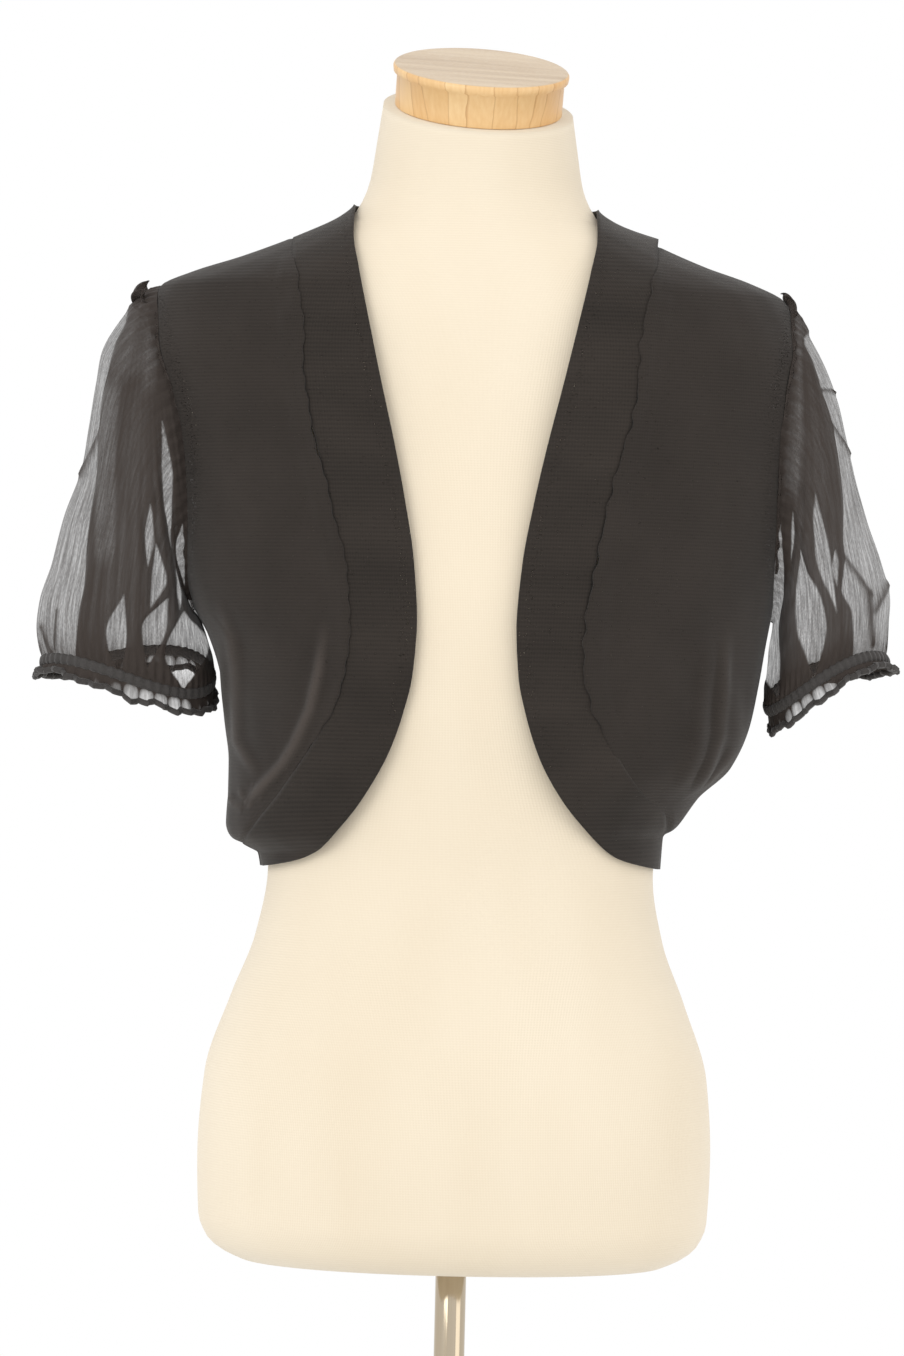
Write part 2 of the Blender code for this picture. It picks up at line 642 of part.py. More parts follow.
def sleeve_grid(side, name, turns, steps):
    """Cubic curves from the armhole to the cuff, moved by the outline on the outer side, and in
    and out by the gathers, which are deepest halfway down, at the front and at the back."""
    root, normals, inwards = armhole_outline(side, turns)
    root = root + normals * KNIT_WALL / 2 + inwards * ROOT_CLEARANCE
    cuff, _ = cuff_line(side, turns, name)
    lean = np.radians(by_turn("root_lean", turns))[:, None]
    first = root + by_turn("root_run", turns)[:, None] * (normals * np.cos(lean) + inwards * np.sin(lean))
    out, front, up = (by_turn(f"cuff_{way}", turns) for way in ("out", "front", "up"))
    second = cuff + np.stack((side * out, -front, up), -1)
    w = np.linspace(0, 1, steps + 1)[:, None, None]
    grid = (1 - w) ** 3 * root + 3 * (1 - w) ** 2 * w * first
    grid = grid + 3 * (1 - w) * w**2 * second + w**3 * cuff
    out = grid_normals(grid)
    out *= np.sign(np.sum(out[steps // 2, 0] * (side, 0, 0)))
    w = w[..., 0]
    outer = ((1 + np.cos(turns)) / 2) ** 2
    shift = outer * smooth(w, OUTLINE["down"], OUTLINE[name])
    depth = GATHER_DEPTH * np.sin(np.pi * w) ** GATHER_FADE + GATHER_AT_CUFF * w**4
    depth = depth * (GATHER_AT_SIDES + (1 - GATHER_AT_SIDES) * np.sin(turns) ** 2)
    wave = np.cos(SLEEVE_GATHERS * turns + GATHER_DRIFT * np.sin(2 * turns))
    wave = wave + SWELL_SHARE * np.cos(SWELLS * turns + SWELL_TURN)
    return grid + out * (shift + depth * wave)[..., None]


def wall_about(name, grid, thickness, finish_name):
    """A round wall half to each side of a grid."""
    out = grid_normals(grid) * thickness / 2
    return wall(name, grid - out, grid + out, finish_name, round_trip=True)


def make_sleeves():
    """Each side's puff sleeve, elastic casing, cuff ruffle and armhole frill."""
    for side, name in ((1, "left"), (-1, "right")):
        turns = np.arange(SLEEVE_AROUND) * 2 * np.pi / SLEEVE_AROUND
        grid = sleeve_grid(side, name, turns, SLEEVE_STEPS)
        wall_about(f"sleeve_{name}", grid, CHIFFON_WALL, "chiffon")

        cuff, down = cuff_line(side, turns, name)
        rows = [cuff + down * (CASING_GAP + share * CASING_HEIGHT) for share in (0, 1)]
        wall_about(f"cuff_casing_{name}", np.stack(rows), CASING_WALL, "chiffon")

        turns = np.arange(RUFFLE_AROUND) * 2 * np.pi / RUFFLE_AROUND
        cuff, down = cuff_line(side, turns, name)
        outward = unit(cuff - cuff.mean(0))
        start = CASING_GAP + CASING_HEIGHT + RUFFLE_GAP
        rows = []
        for share in (0, 1):
            flare = RUFFLE_FLARE * share + RUFFLE_WAVE * share * np.cos(RUFFLE_WAVES * turns)
            rows.append(cuff + down * (start + share * RUFFLE_LENGTH) + outward * flare[:, None])
        wall_about(f"cuff_ruffle_{name}", np.stack(rows), CHIFFON_WALL, "chiffon")

        crest = np.linspace(-FRILL_CREST, FRILL_CREST, FRILL_CREST_STEPS + 1)
        foot = np.linspace(FRILL_CREST, FRILL_REACH, FRILL_FOOT_STEPS + 1)[1:]
        turns = np.radians(np.concatenate((-foot[::-1], crest, foot)))
        seam, normals, inwards = armhole_outline(side, turns)
        root = seam + normals * (KNIT_WALL + FRILL_GAP) - inwards * (CHIFFON_WALL / 2 + RESTING_GAP)
        near_top = 1 - step(np.abs(turns), radians(FRILL_FULL), radians(FRILL_CREST))
        tall = FRILL_LOW + (FRILL_TALL - FRILL_LOW) * near_top
        rows = []
        for share in FRILL_SHARES:
            wave = FRILL_WAVE * share * near_top * (np.cos(FRILL_WAVES * turns) + 1)
            lean = FRILL_LEAN * share * tall + wave
            rows.append(root + normals * (share * tall)[:, None] - inwards * lean[:, None])
        grid = np.stack(rows)
        out = open_grid_normals(grid) * CHIFFON_WALL / 2
        wall(f"armhole_frill_{name}", grid - out, grid + out, "chiffon")


def clear_scene():
    """Removes the objects that a new scene starts with."""
    for old in list(bpy.data.objects):
        bpy.data.objects.remove(old, do_unlink=True)


clear_scene()
make_form()
make_body()
make_sleeves()
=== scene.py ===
"""Looks of a fine-knit bolero cardigan with chiffon puff sleeves on a dress form.

Every surface is a formula on a grid of two parameters. Tables and sizes are in millimetres and
degrees, the meshes in metres. -Y is the front and +X is the wearer's left.
"""

from math import radians

import bpy
import numpy as np
from mathutils import Matrix


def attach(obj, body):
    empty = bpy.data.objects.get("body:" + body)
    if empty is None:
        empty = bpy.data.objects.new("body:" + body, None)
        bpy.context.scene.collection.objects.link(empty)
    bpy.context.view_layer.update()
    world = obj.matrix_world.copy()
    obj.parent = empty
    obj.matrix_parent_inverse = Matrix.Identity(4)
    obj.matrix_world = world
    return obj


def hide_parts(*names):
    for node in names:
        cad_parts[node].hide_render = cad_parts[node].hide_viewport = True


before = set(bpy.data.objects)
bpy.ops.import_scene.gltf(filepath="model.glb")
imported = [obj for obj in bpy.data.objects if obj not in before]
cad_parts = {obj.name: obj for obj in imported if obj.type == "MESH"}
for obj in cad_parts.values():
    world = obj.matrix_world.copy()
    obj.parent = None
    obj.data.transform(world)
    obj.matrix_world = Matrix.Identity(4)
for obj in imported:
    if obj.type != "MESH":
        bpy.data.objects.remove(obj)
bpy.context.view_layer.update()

MM = 0.001
TAU = 2 * np.pi

# Camera: level, three metres in front, rolled a little as the photograph is
CAMERA_AWAY = 3000
CAMERA_HEIGHT = 1138
CAMERA_SHIFT = -8.4
CAMERA_ROLL = 1.35
VIEW_HEIGHT = 881.4
SENSOR = 36

# Dress form
TORSO_COLUMNS = ("height", "half_width", "front", "back", "centre", "power", "nod")
TORSO_ROWS = (
    (760, 138, 84, 94, 0, 2.15, 0),
    (765, 149, 94, 105, 0, 2.15, 0),
    (773, 159, 102, 114, 0, 2.15, 0),
    (788, 165, 108, 120, 0, 2.15, 0),
    (830, 166.5, 110, 123, 0, 2.15, 0),
    (880, 163, 107, 121, 0, 2.15, 0),
    (930, 147, 100, 110, 0, 2.15, 0),
    (970, 132, 95, 92, 0, 2.15, 0),
    (1012, 125, 94, 84, 0, 2.15, 0),
    (1040, 127, 97, 85, 0, 2.15, 0),
    (1080, 134, 104, 90, 0, 2.15, 0),
    (1120, 142, 113, 96, 0, 2.2, 0),
    (1180, 152, 119, 103, 0, 2.25, 0),
    (1240, 165, 112, 105, 0, 2.35, 0),
    (1300, 181, 98, 102, 0, 2.45, 0),
    (1345, 190, 88, 96, 0, 2.5, 0),
    (1372, 189, 83, 91, 0, 2.4, 0),
    (1390, 176, 78, 87, 0, 2.2, 0),
    (1408, 140, 72, 78, -1, 2.05, 0),
    (1420, 112, 67, 70, -2, 2, 0),
    (1432, 84, 62, 62, -3, 2, 0),
    (1445, 74, 60, 60, -4, 2, 2),
    (1458, 69, 58, 59, -6, 2, 6),
    (1482, 65, 57, 58, -9, 2, 13),
    (1506, 61.4, 57, 57, -12, 2, 20),
)
NECK_LEAN = 3.2
FORM_AROUND = 200
TORSO_STEP = 5
UNDERSIDE_SHARES = (0.12, 0.5, 0.93)
CAP_RADIUS = 57
CAP_THICKNESS = 28
CAP_ROUND = 2.5
CAP_LIP = 2.8
CAP_GAP = 0.3
# Pole and foot: each ring's radius and height
POLE_ROWS = ((9, 10.3), (10, 11.3), (10, 958.7), (9, 959.7))
FOOT_UNDERSIDE = (150, 0)
FOOT_ROWS = ((170, 0), (170, 5), (167, 8), (30, 13), (23, 18), (23, 52), (20, 55), (10.3, 55))
FOOT_BORE_ROWS = ((10.3, 54), (10.3, 11), (10.3, 10))
FOOT_CORNER = 0.8

SIDES = ((1, "left"), (-1, "right"))

# Body cloth, its inner side all round the form; left is the wearer's left, +X
CLOTH_COLUMNS = ("height", "left", "right", "front", "back", "centre", "power")
CLOTH_ROWS = (
    (1008, 127.3, 127.6, 96.5, 86.5, 0, 2.15),
    (1028, 128.6, 130, 98.5, 87.3, 0, 2.15),
    (1036, 129.5, 139.5, 100, 88, 0, 2.15),
    (1043, 137, 147.5, 101.5, 88.8, 0, 2.15),
    (1052, 144, 150.5, 103, 90, 0, 2.15),
    (1064, 154, 150.5, 106, 96, 0, 2.18),
    (1085, 173, 150.5, 110, 101, 0, 2.2),
    (1111, 184, 151.5, 115, 103, 0, 2.22),
    (1137, 189, 157, 119, 105, 0, 2.25),
    (1163, 193, 166, 122, 107, 0, 2.28),
    (1180, 196, 175, 122.5, 108, 0, 2.3),
    (1200, 199.5, 182, 121.5, 109, 0, 2.3),
    (1245, 207.5, 190, 116, 109, 0, 2.35),
    (1281, 212, 197, 109, 108, 0, 2.4),
    (1318, 216, 206, 101, 105, 0, 2.4),
    (1345, 216.5, 212, 95, 101, 0, 2.4),
    (1370, 210, 209, 89, 96, 0, 2.3),
    (1386, 201, 203, 84, 91, 0, 2.2),
    (1396, 181, 182, 81, 87, 0, 2.1),
    (1406, 151, 152, 77.5, 82, -1, 2.05),
    (1420, 116.5, 117, 71.5, 75, -2, 2),
    (1434, 88, 88, 66, 68, -3, 2),
    (1443, 77.6, 77.6, 63, 64, -4, 2),
    (1462, 72.5, 72.5, 60, 61.8, -6, 2),
)
# Near the hem it is drawn up on the left and hangs down on the right
HEM_LIFT_LEFT = 4
HEM_LIFT_RIGHT = -9
HEM_LIFT_REACH = 150
HEM_LIFT_FROM = 1000
HEM_LIFT_FULL = (1040, 1045)
HEM_LIFT_TO = 1085
ARMHOLE_TOP = 1386
ARMHOLE_BOTTOM = 1180
ARMHOLE_HALF_DEPTH = 52
TURN_STEP = 0.02

# Front band, shoulder to side waist: seam and free edge, out from the middle and up
BAND_COLUMNS = ("seam_out", "seam_height", "edge_out", "edge_height")
BAND_ROWS = (
    (117, 1420, 78, 1443),
    (116, 1406, 77.5, 1420),
    (114, 1385, 73.5, 1397),
    (110, 1357, 67, 1367),
    (105, 1318, 57.5, 1325),
    (96, 1280, 48, 1285),
    (87, 1245, 40, 1247),
    (79.5, 1210, 33.8, 1210),
    (75.5, 1175, 31, 1172),
    (76, 1145, 33, 1140),
    (81, 1122, 38.5, 1115),
    (91, 1101, 47, 1090),
    (102, 1083, 60, 1066),
    (115, 1066, 77, 1044),
    (129, 1051, 98, 1025),
    (150, 1037, 150, 1016),
)
NECK_BAND_RISE = 8
NECK_SEAM_DROP = 14
HEM_SEAM_RISE = 16
HEM_SEAM_FADE = 1110
KNIT_WALL = 1.0
BAND_WALL = 1.5
GIRTH_RADIUS = 130
HEM_HEIGHT = BAND_ROWS[-1][1]
BACK_AROUND = 190
FRONT_AROUND = 110
BAND_STEPS = 260
BAND_ACROSS = 16
RING_STEPS = 220
RING_ACROSS = 14
# How a front panel laps the band: the lap's width, how it wanders and how far it stands up
SEAM_LAP = 1.2
SEAM_WANDER = 2.0
SEAM_LAP_LIFT = 1.7
LAP_TOP = (1388, 1410)
LAP_FOOT = (1085, 1135)
PUCKER_RISE = 1.7
PUCKER_AWAY = 5
PUCKER_WIDTH = 3.2
SHOULDER_ROLL = 4.5
# How the panels hang over the waist band: over what height, how far out and how far down
BLOUSE_REACH = 26
BLOUSE_OUT = 4
BLOUSE_DROP = 15
BLOUSE_CLEAR = 14

# Folds in the panels: soft ridges from one place to another, angles from +X, front negative
FOLD_COLUMNS = ("angle_from", "height_from", "angle_to", "height_to", "half_width", "rise")
FOLD_ROWS = (
    (-150, 1165, -184, 1092, 11, 3),
    (-60, 1165, -24, 1064, 10, 1.5),
    (-46, 1170, -12, 1080, 10, 2),
    (24, 1050, 16, 1128, 10, 4),
    (36, 1051, 33, 1096, 7, 3),
    (50, 1052, 44, 1118, 10, 5),
    (61, 1054, 62, 1100, 6, 3),
    (72, 1056, 75, 1140, 10, 5),
    (86, 1057, 84, 1104, 7, 3),
    (98, 1058, 95, 1115, 10, 5),
    (110, 1057, 112, 1098, 7, 3),
    (122, 1056, 127, 1135, 10, 5),
    (137, 1054, 138, 1104, 7, 3),
    (152, 1052, 160, 1122, 10, 5),
)

# Folds drawn down to the waist on the fronts: points out and up, then half width, rise and how
# much painted highlight lightens the crest
CREST_ROWS = {
    "right": (
        (((88, 1178), (89, 1160), (91, 1140), (95.5, 1117), (105, 1094), (113, 1081), (123, 1069.5),
          (132.5, 1059), (139.5, 1050)), 3.6, 3.2, 0.85),
        (((160, 1192), (146.5, 1159), (144.5, 1142), (143.5, 1095), (133, 1078), (129.5, 1068)),
         4, 2.4, 0.45),
        (((150, 1061), (145, 1055), (137, 1052)), 1.6, 1.6, 0.5),
        (((143, 1065), (138, 1058), (131, 1053)), 1.5, 1.4, 0.5),
        (((134, 1069), (131, 1062), (125, 1057)), 1.5, 1.3, 0.3),
    ),
    "left": (
        (((165, 1180), (161.5, 1145), (161, 1106), (155, 1088), (145, 1067)), 4, 2.6, 0.25),
        (((152, 1170), (149, 1130), (146, 1096), (136, 1068)), 5, 1.8, 0.1),
        (((172, 1100), (165, 1088), (152, 1073)), 3, 1.8, 0.3),
    ),
}

# Sleeves: how far they run on from the armhole and at what angle from the cloth's normal there,
# then how they come down to the cuff, as offsets out from the body, towards the front and up
SLEEVE_COLUMNS = ("root_run", "root_lean", "cuff_out", "cuff_front", "cuff_up")
SLEEVE_ROWS = {
    "top": (40, 62, 6, 0, 64),
    "front": (33, 10, 0, 21, 54),
    "armpit": (12, 32, 6, 0, 18),
    "back": (31, 10, 0, -18, 52),
}
CUFF_COLUMNS = ("out", "front", "height", "half_out", "half_front", "tilt_out", "tilt_front", "bow", "twist")
CUFF_ROWS = {
    "left": (234, 0, 1146.8, 39, 36, 16.5, -2, -5.2, 4),
    "right": (219, 0, 1142.4, 56, 37, 4.5, -8, -2.2, 7),
}
# How far the sleeve's outer side lies off that curve, from the armhole, 0, down to the cuff, 1
OUTLINE_COLUMNS = ("down", "left", "right")
OUTLINE_ROWS = (
    (0, 0, 0),
    (0.1, -3.4, 2.1),
    (0.2, -6.2, 4.3),
    (0.27, -6.4, 5.5),
    (0.36, -7.1, 0.5),
    (0.46, -9.3, -4.9),
    (0.55, -10, -8.2),
    (0.65, -7.9, -4.6),
    (0.75, -2.3, -2.6),
    (0.84, 1.7, 2.3),
    (0.9, 0.5, 3.2),
    (1, 0, 0),
)
# Where the chiffon hangs in one smooth layer: out past this edge of the outer pane, and in slits
# between the pleats, each from its upper tip over its widest place to its lower tip
PANE_COLUMNS = ("height", "out")
PANE_ROWS = {
    "right": ((1130, 251), (1148, 250.5), (1176, 247.5), (1193, 244), (1210, 243), (1234, 241), (1263, 237),
              (1285, 236), (1304, 235.5), (1327, 232), (1349, 228), (1363, 222.5), (1372, 223), (1386, 228)),
    "left": ((1130, 249), (1164, 248.5), (1187, 245.5), (1201, 238), (1221, 239), (1232, 237.5), (1250, 237),
             (1281, 233.5), (1309, 228.5), (1326, 223.5), (1344, 218.5), (1360, 212.5), (1368, 218),
             (1386, 228)),
}
SLIT_COLUMNS = ("tip_out", "tip_height", "inner", "outer", "height", "foot_out", "foot_height")
SLIT_ROWS = {
    "right": (
        (197, 1297, 190, 196.5, 1260, 192, 1218),
        (204, 1245, 202, 207, 1224, 205, 1205),
        (201.5, 1220, 196, 203, 1196, 203, 1179),
        (183, 1233, 181.5, 188, 1217, 182, 1194),
        (218.5, 1187, 217, 230, 1162, 222, 1130),
        (195, 1185, 194, 207.5, 1166, 204, 1140),
        (187, 1176, 171, 193.5, 1150, 181, 1126),
        (180, 1186, 170, 178, 1176, 166, 1153),
        (189.5, 1205, 188.3, 190.7, 1190, 189, 1177),
    ),
    "left": (
        (220, 1261, 222, 229.5, 1224, 236, 1186),
        (214, 1226, 215, 230, 1175, 224, 1142),
        (199, 1246, 194, 207, 1165, 203, 1128),
        (207.5, 1250, 207.0, 208.8, 1237, 208.2, 1219),
        (232.5, 1226, 231.5, 235, 1216, 235, 1203),
        (190, 1147, 186, 193, 1133, 191, 1122),
    ),
}
# Creases that cross the pane, as darker lines
CREASE_COLUMNS = ("out_from", "height_from", "out_to", "height_to", "half_width")
CREASE_ROWS = {
    "right": (
        (234, 1291, 249, 1263, 2.2),
        (274, 1165, 267, 1146, 2),
        (263, 1176, 265, 1150, 1.2),
    ),
    "left": (
        (210, 1328, 232, 1327, 1),
        (224, 1311, 242, 1288, 1.4),
        (239, 1221, 258, 1198, 2),
        (256, 1199, 262, 1166, 2.6),
        (262, 1188, 271, 1205, 2.4),
    ),
}
CREASE_DEPTH = 0.85
SLIT_EDGE = 0.5
RIDGE_EDGE = 3.0
RIDGE = 2.4
FRONT_DENSE = 0.545
FRONT_STREAK = 0.035
ROOT_DENSE = 0.26
CUFF_DENSE = 0.2
# The gathers fan out from the crown, out and up, and are no closer than that below it
CROWN = {"right": (211, 1403), "left": (207, 1401)}
FAN = 105
FAN_NEAREST = 20
# Where the gathers let flecks of light through: from out, to out, from height, to height, how much
FLECKED = {
    "right": ((222, 238, 1200, 1330, 0.12), (190, 232, 1318, 1400, 0.08), (199, 211, 1305, 1370, 0.08)),
    "left": ((196, 213, 1250, 1400, 0.12), (190, 225, 1330, 1400, 0.04)),
}
BACK_DENSE = 0.09
SLEEVE_AROUND = 470
FRONT_CROWDING = 0.3
ROOT_GATHERS = 66
CUFF_GATHERS = 60
PUFF_COLUMNS = ("all_round", "outer", "front_and_back")
PUFF_ROW = (3.3, -1.6, -0.5)
SLEEVE_STEPS = 120
SLEEVE_LENGTH = 262

CASING_AROUND = 720
CASING_SIDES = 14
CASING_HEIGHT = 5
CASING_WALL = 2.8
CASING_GAP = 1.2
CASING_LIFT = 1.1
CASING_LAP = 1.0
CASING_RIBS = 58
CUFF_RADIUS = 48

RUFFLE_WAVES = 34
RUFFLE_WAVE_STEPS = 20
RUFFLE_ROWS = 9
RUFFLE_LENGTH = 7.5
RUFFLE_LAP = 0.6
RUFFLE_FLARE = 2.2
RUFFLE_WAVE = 1.6
RUFFLE_CURL = 0.7
RUFFLE_UNEVEN = 0.4
RUFFLE_MORE_INSIDE = 0.3
RUFFLE_MORE_IN_FRONT = 0.15
RUFFLE_CALM = 0.7
RUFFLE_SCALLOP = 0.16
RUFFLE_SHEER = 0.02
RUFFLE_CROWDED = 0.45
ROLLED_EDGE = 2.1
EDGE_SIDES = 7

# Frill at the armhole's top: its lobes lean in and out by turns, each with its length and the
# degrees from the cloth's normal, towards the opening, at which it starts, goes on and ends
FRILL_COLUMNS = ("length", "start", "middle", "tip")
FRILL_IN = {"right": (14.5, 84, 0, -95), "left": (7.5, -70, -40, -150)}
FRILL_OUT = {"right": (22, 86, 30, 135), "left": (9.5, 126, 138, 128)}
FRILL_DIP = {"right": 0, "left": 0.38}
FRILL_WAVES = {"right": 16, "left": 26}
FRILL_AROUND = 620
FRILL_ROWS = 22
FRILL_LOW = 1.7
FRILL_LOW_ANGLE = 0.5
FRILL_GAP = 0.9
FRILL_SINK = 0.6
FRILL_REACH = 135
FRILL_CREST = 30
FRILL_WALL = 0.6
FRILL_ON_CLOTH = 12
ARMHOLE_RADIUS = 60
FOOT_WAVES = 44
FOOT_WAVE = 0.5

# Wale, course and stave pitches in metres, the wales on a girth of that radius
STAVE = 0.0125
JERSEY_RADIUS = 0.15
JERSEY_WALE = 0.0013
JERSEY_COURSE = 0.0016
CHIFFON_DARK = (0.026, 0.0195, 0.0165, 1)
CHIFFON_LIGHT = (0.053, 0.042, 0.036, 1)
# Paler knit colour painted on the folds' crests as a highlight
CREST_HIGHLIGHT_KNIT = (0.066, 0.054, 0.047, 1)

FLOOR_HALF = 4000
WORLD_STRENGTH = 1.0
LIT_PLACE = (0, 0, 1.2)
LIGHTS = (
    ("key", (-1.6, -2.4, 2.3), (1.6, 1.6), 22, (1.0, 0.99, 0.97)),
    ("fill", (2.6, -1.2, 1.6), (1.8, 1.8), 10, (1.0, 0.96, 0.90)),
)


def table(columns, rows):
    """A dictionary of arrays, one for each named column."""
    return dict(zip(columns, np.array(rows, float).T))


TORSO = table(TORSO_COLUMNS, TORSO_ROWS)
CLOTH = table(CLOTH_COLUMNS, CLOTH_ROWS)
BAND = table(BAND_COLUMNS, BAND_ROWS)
OUTLINE = table(OUTLINE_COLUMNS, OUTLINE_ROWS)


def smooth(x, knots, values):
    """Cubic curve through the knots whose slope there is the harmonic mean of the chords'."""
    width = np.diff(knots)
    chord = np.diff(values) / width
    product = chord[:-1] * chord[1:]
    total = np.where(product > 0, chord[:-1] + chord[1:], 1)
    slope = np.concatenate(([chord[0]], np.where(product > 0, 2 * product / total, 0), [chord[-1]]))
    i = np.clip(np.searchsorted(knots, x) - 1, 0, len(width) - 1)
    u = np.clip((x - knots[i]) / width[i], 0, 1)
    rising = u * u * (3 - 2 * u)
    bend = u * (1 - u) * ((1 - u) * slope[i] - u * slope[i + 1]) * width[i]
    return values[i] + (values[i + 1] - values[i]) * rising + bend


def step(x, low, high):
    """0 below low, 1 above high and a smooth rise between."""
    u = np.clip((x - low) / (high - low), 0, 1)
    return u * u * (3 - 2 * u)


def unit(vectors):
    """The vectors at length 1."""
    return vectors / np.maximum(np.linalg.norm(vectors, axis=-1, keepdims=True), 1e-9)


def ripple(x, y, seed):
    """Unevenness between -1 and 1: a few sines of x and y in fixed, unrelated directions."""
    rng = np.random.default_rng(seed)
    total = 0
    for size in (1.0, 1.7, 2.9, 4.3):
        a, b, c = rng.uniform(-1, 1), rng.uniform(-1, 1), rng.uniform(0, TAU)
        total = total + np.sin(size * (a * x + b * y) + c) / size**0.5
    return total / 2.7


def oval(t, power):
    """Point at angle t on |x|^power + |y|^power = 1, as (x, y)."""
    c, s = np.cos(t), np.sin(t)
    reach = (np.abs(c) ** power + np.abs(s) ** power) ** (-1 / power)
    return c * reach, s * reach


def torso_point(t, z):
    """Oval rings whose widths and depths follow the torso's rows; the neck rings nod forward."""
    x, y = oval(t, smooth(z, TORSO["height"], TORSO["power"]))
    front = smooth(z, TORSO["height"], TORSO["front"])
    back = smooth(z, TORSO["height"], TORSO["back"])
    y = y * np.where(y < 0, front, back)
    x = x * smooth(z, TORSO["height"], TORSO["half_width"])
    nod = np.radians(smooth(z, TORSO["height"], TORSO["nod"]))
    lean = np.tan(nod * NECK_LEAN / TORSO["nod"].max())
    centre = smooth(z, TORSO["height"], TORSO["centre"])
    return np.stack((x, y + centre, z + y * np.tan(nod) - x * lean), -1)


def plain_cloth(t, z):
    """Oval rings round the form, each with its own reach to the left, right, front and back. Near
    the hem a ring is moved up or down by the square of the distance out."""
    x, y = oval(t, smooth(z, CLOTH["height"], CLOTH["power"]))
    left = smooth(z, CLOTH["height"], CLOTH["left"])
    right = smooth(z, CLOTH["height"], CLOTH["right"])
    front = smooth(z, CLOTH["height"], CLOTH["front"])
    back = smooth(z, CLOTH["height"], CLOTH["back"])
    centre = smooth(z, CLOTH["height"], CLOTH["centre"])
    x = x * np.where(x > 0, left, right)
    y = y * np.where(y < 0, front, back) + centre
    lift = np.where(x > 0, HEM_LIFT_LEFT, HEM_LIFT_RIGHT) * (x / HEM_LIFT_REACH) ** 2
    near_hem = step(z, HEM_LIFT_FROM, HEM_LIFT_FULL[0]) * (1 - step(z, HEM_LIFT_FULL[1], HEM_LIFT_TO))
    return np.stack((x, y, z + lift * near_hem), -1)


def normal_of(surface, t, z):
    """Outward normal of surface(t, z): the cross product of its two difference vectors."""
    dt, dz = 0.004, 0.5
    along = surface(t + dt, z) - surface(t - dt, z)
    up = surface(t, z + dz) - surface(t, z - dz)
    return unit(np.cross(along, up))


def fold_rise(t, z):
    """Sum of ridges: a bell across each fold's line, and a half sine's root along it."""
    total = np.zeros(np.broadcast(t, z).shape)
    for row in FOLD_ROWS:
        fold = dict(zip(FOLD_COLUMNS, row))
        start = np.array((radians(fold["angle_from"]) * GIRTH_RADIUS, fold["height_from"]))
        run = np.array((radians(fold["angle_to"]) * GIRTH_RADIUS, fold["height_to"])) - start
        length = np.hypot(*run)
        for turn in (0, TAU):
            dx = (t - turn) * GIRTH_RADIUS - start[0]
            dz = z - start[1]
            along = (dx * run[0] + dz * run[1]) / length**2
            across = (dx * run[1] - dz * run[0]) / length
            fade = np.sqrt(np.clip(4 * along * (1 - along), 0, 1))
            total = total + fold["rise"] * fade * np.exp(-((across / fold["half_width"]) ** 2))
    return total


def crests(place, side, narrow=1.0):
    """How far the drawn folds rise at points of the front, and how strong the painted highlight on
    their crests is: a bell of the distance from the nearest chord, fading in and out along the line."""
    out, height = place[..., 0] * side, place[..., 2]
    front = step(-place[..., 1], 0, 20)
    rise, painted_highlight = 0 * out, 0 * out
    for line, half_width, tall, pale in CREST_ROWS["left" if side > 0 else "right"]:
        nearest, reached, total = 1e3 + 0 * out, 0 * out, 0.0
        chords = [(np.array(a, float), np.array(b, float)) for a, b in zip(line, line[1:])]
        whole = sum(np.hypot(*(b - a)) for a, b in chords)
        for a, b in chords:
            run = b - a
            length = np.hypot(*run)
            share = np.clip(((out - a[0]) * run[0] + (height - a[1]) * run[1]) / length**2, 0, 1)
            away = np.hypot(out - a[0] - share * run[0], height - a[1] - share * run[1])
            reached = np.where(away < nearest, (total + share * length) / whole, reached)
            nearest = np.minimum(nearest, away)
            total += length
        fade = front * step(reached, 0, 0.3) * (1 - step(reached, 0.85, 1))
        rise = np.maximum(rise, tall * fade * np.exp(-((nearest / half_width) ** 2)))
        painted_highlight = np.maximum(painted_highlight, pale * fade * np.exp(-((nearest / half_width / narrow) ** 2)))
    return rise, painted_highlight


def cloth_point(t, z):
    """The cloth's inner side: the plain rings moved out by the folds and by a faint unevenness."""
    uneven = 0.5 + 0.5 * ripple(t * 9, z / 22, 3)
    place = plain_cloth(t, z)
    drawn = crests(place, 1)[0] + crests(place, -1)[0]
    return place + normal_of(plain_cloth, t, z) * (fold_rise(t, z) + drawn + uneven)[..., None]


def angle_at(out, z, side):
    """Front angle at which the ring at height z is that far out from the middle."""
    reach = smooth(z, CLOTH["height"], CLOTH["left" if side > 0 else "right"])
    power = smooth(z, CLOTH["height"], CLOTH["power"])
    share = np.clip(out / reach, 0, 1)
    angle = np.arctan2((1 - share**power) ** (1 / power), share)
    return -angle if side > 0 else angle - np.pi


def armhole_angle(z, side, back):
    """Angle of the armhole's edge at height z, and the side line above and below the armhole."""
    middle = (ARMHOLE_TOP + ARMHOLE_BOTTOM) / 2
    share = (z - middle) / (ARMHOLE_TOP - middle)
    depth = ARMHOLE_HALF_DEPTH * np.sqrt(np.clip(1 - share**2, 0, 1))
    power = smooth(z, CLOTH["height"], CLOTH["power"])
    whole = smooth(z, CLOTH["height"], CLOTH["back" if back else "front"])
    angle = np.arctan2(depth / whole, (1 - (depth / whole) ** power) ** (1 / power))
    if back:
        return angle if side > 0 else np.pi - angle
    return -angle if side > 0 else angle - np.pi


def band_lines(side, seam_heights):
    """Angles and heights of the band's seam and free edge where its seam has those heights."""
    station = np.arange(len(BAND_ROWS), dtype=float)
    place = smooth(-np.asarray(seam_heights, float), -BAND["seam_height"], station)
    lines = []
    for line in ("seam", "edge"):
        height = smooth(place, station, BAND[f"{line}_height"])
        reach = smooth(BAND[f"{line}_height"], CLOTH["height"], CLOTH["left" if side > 0 else "right"])
        out = smooth(place, station, np.minimum(BAND[f"{line}_out"], reach))
        lines.append((angle_at(out, height, side), height))
    return lines


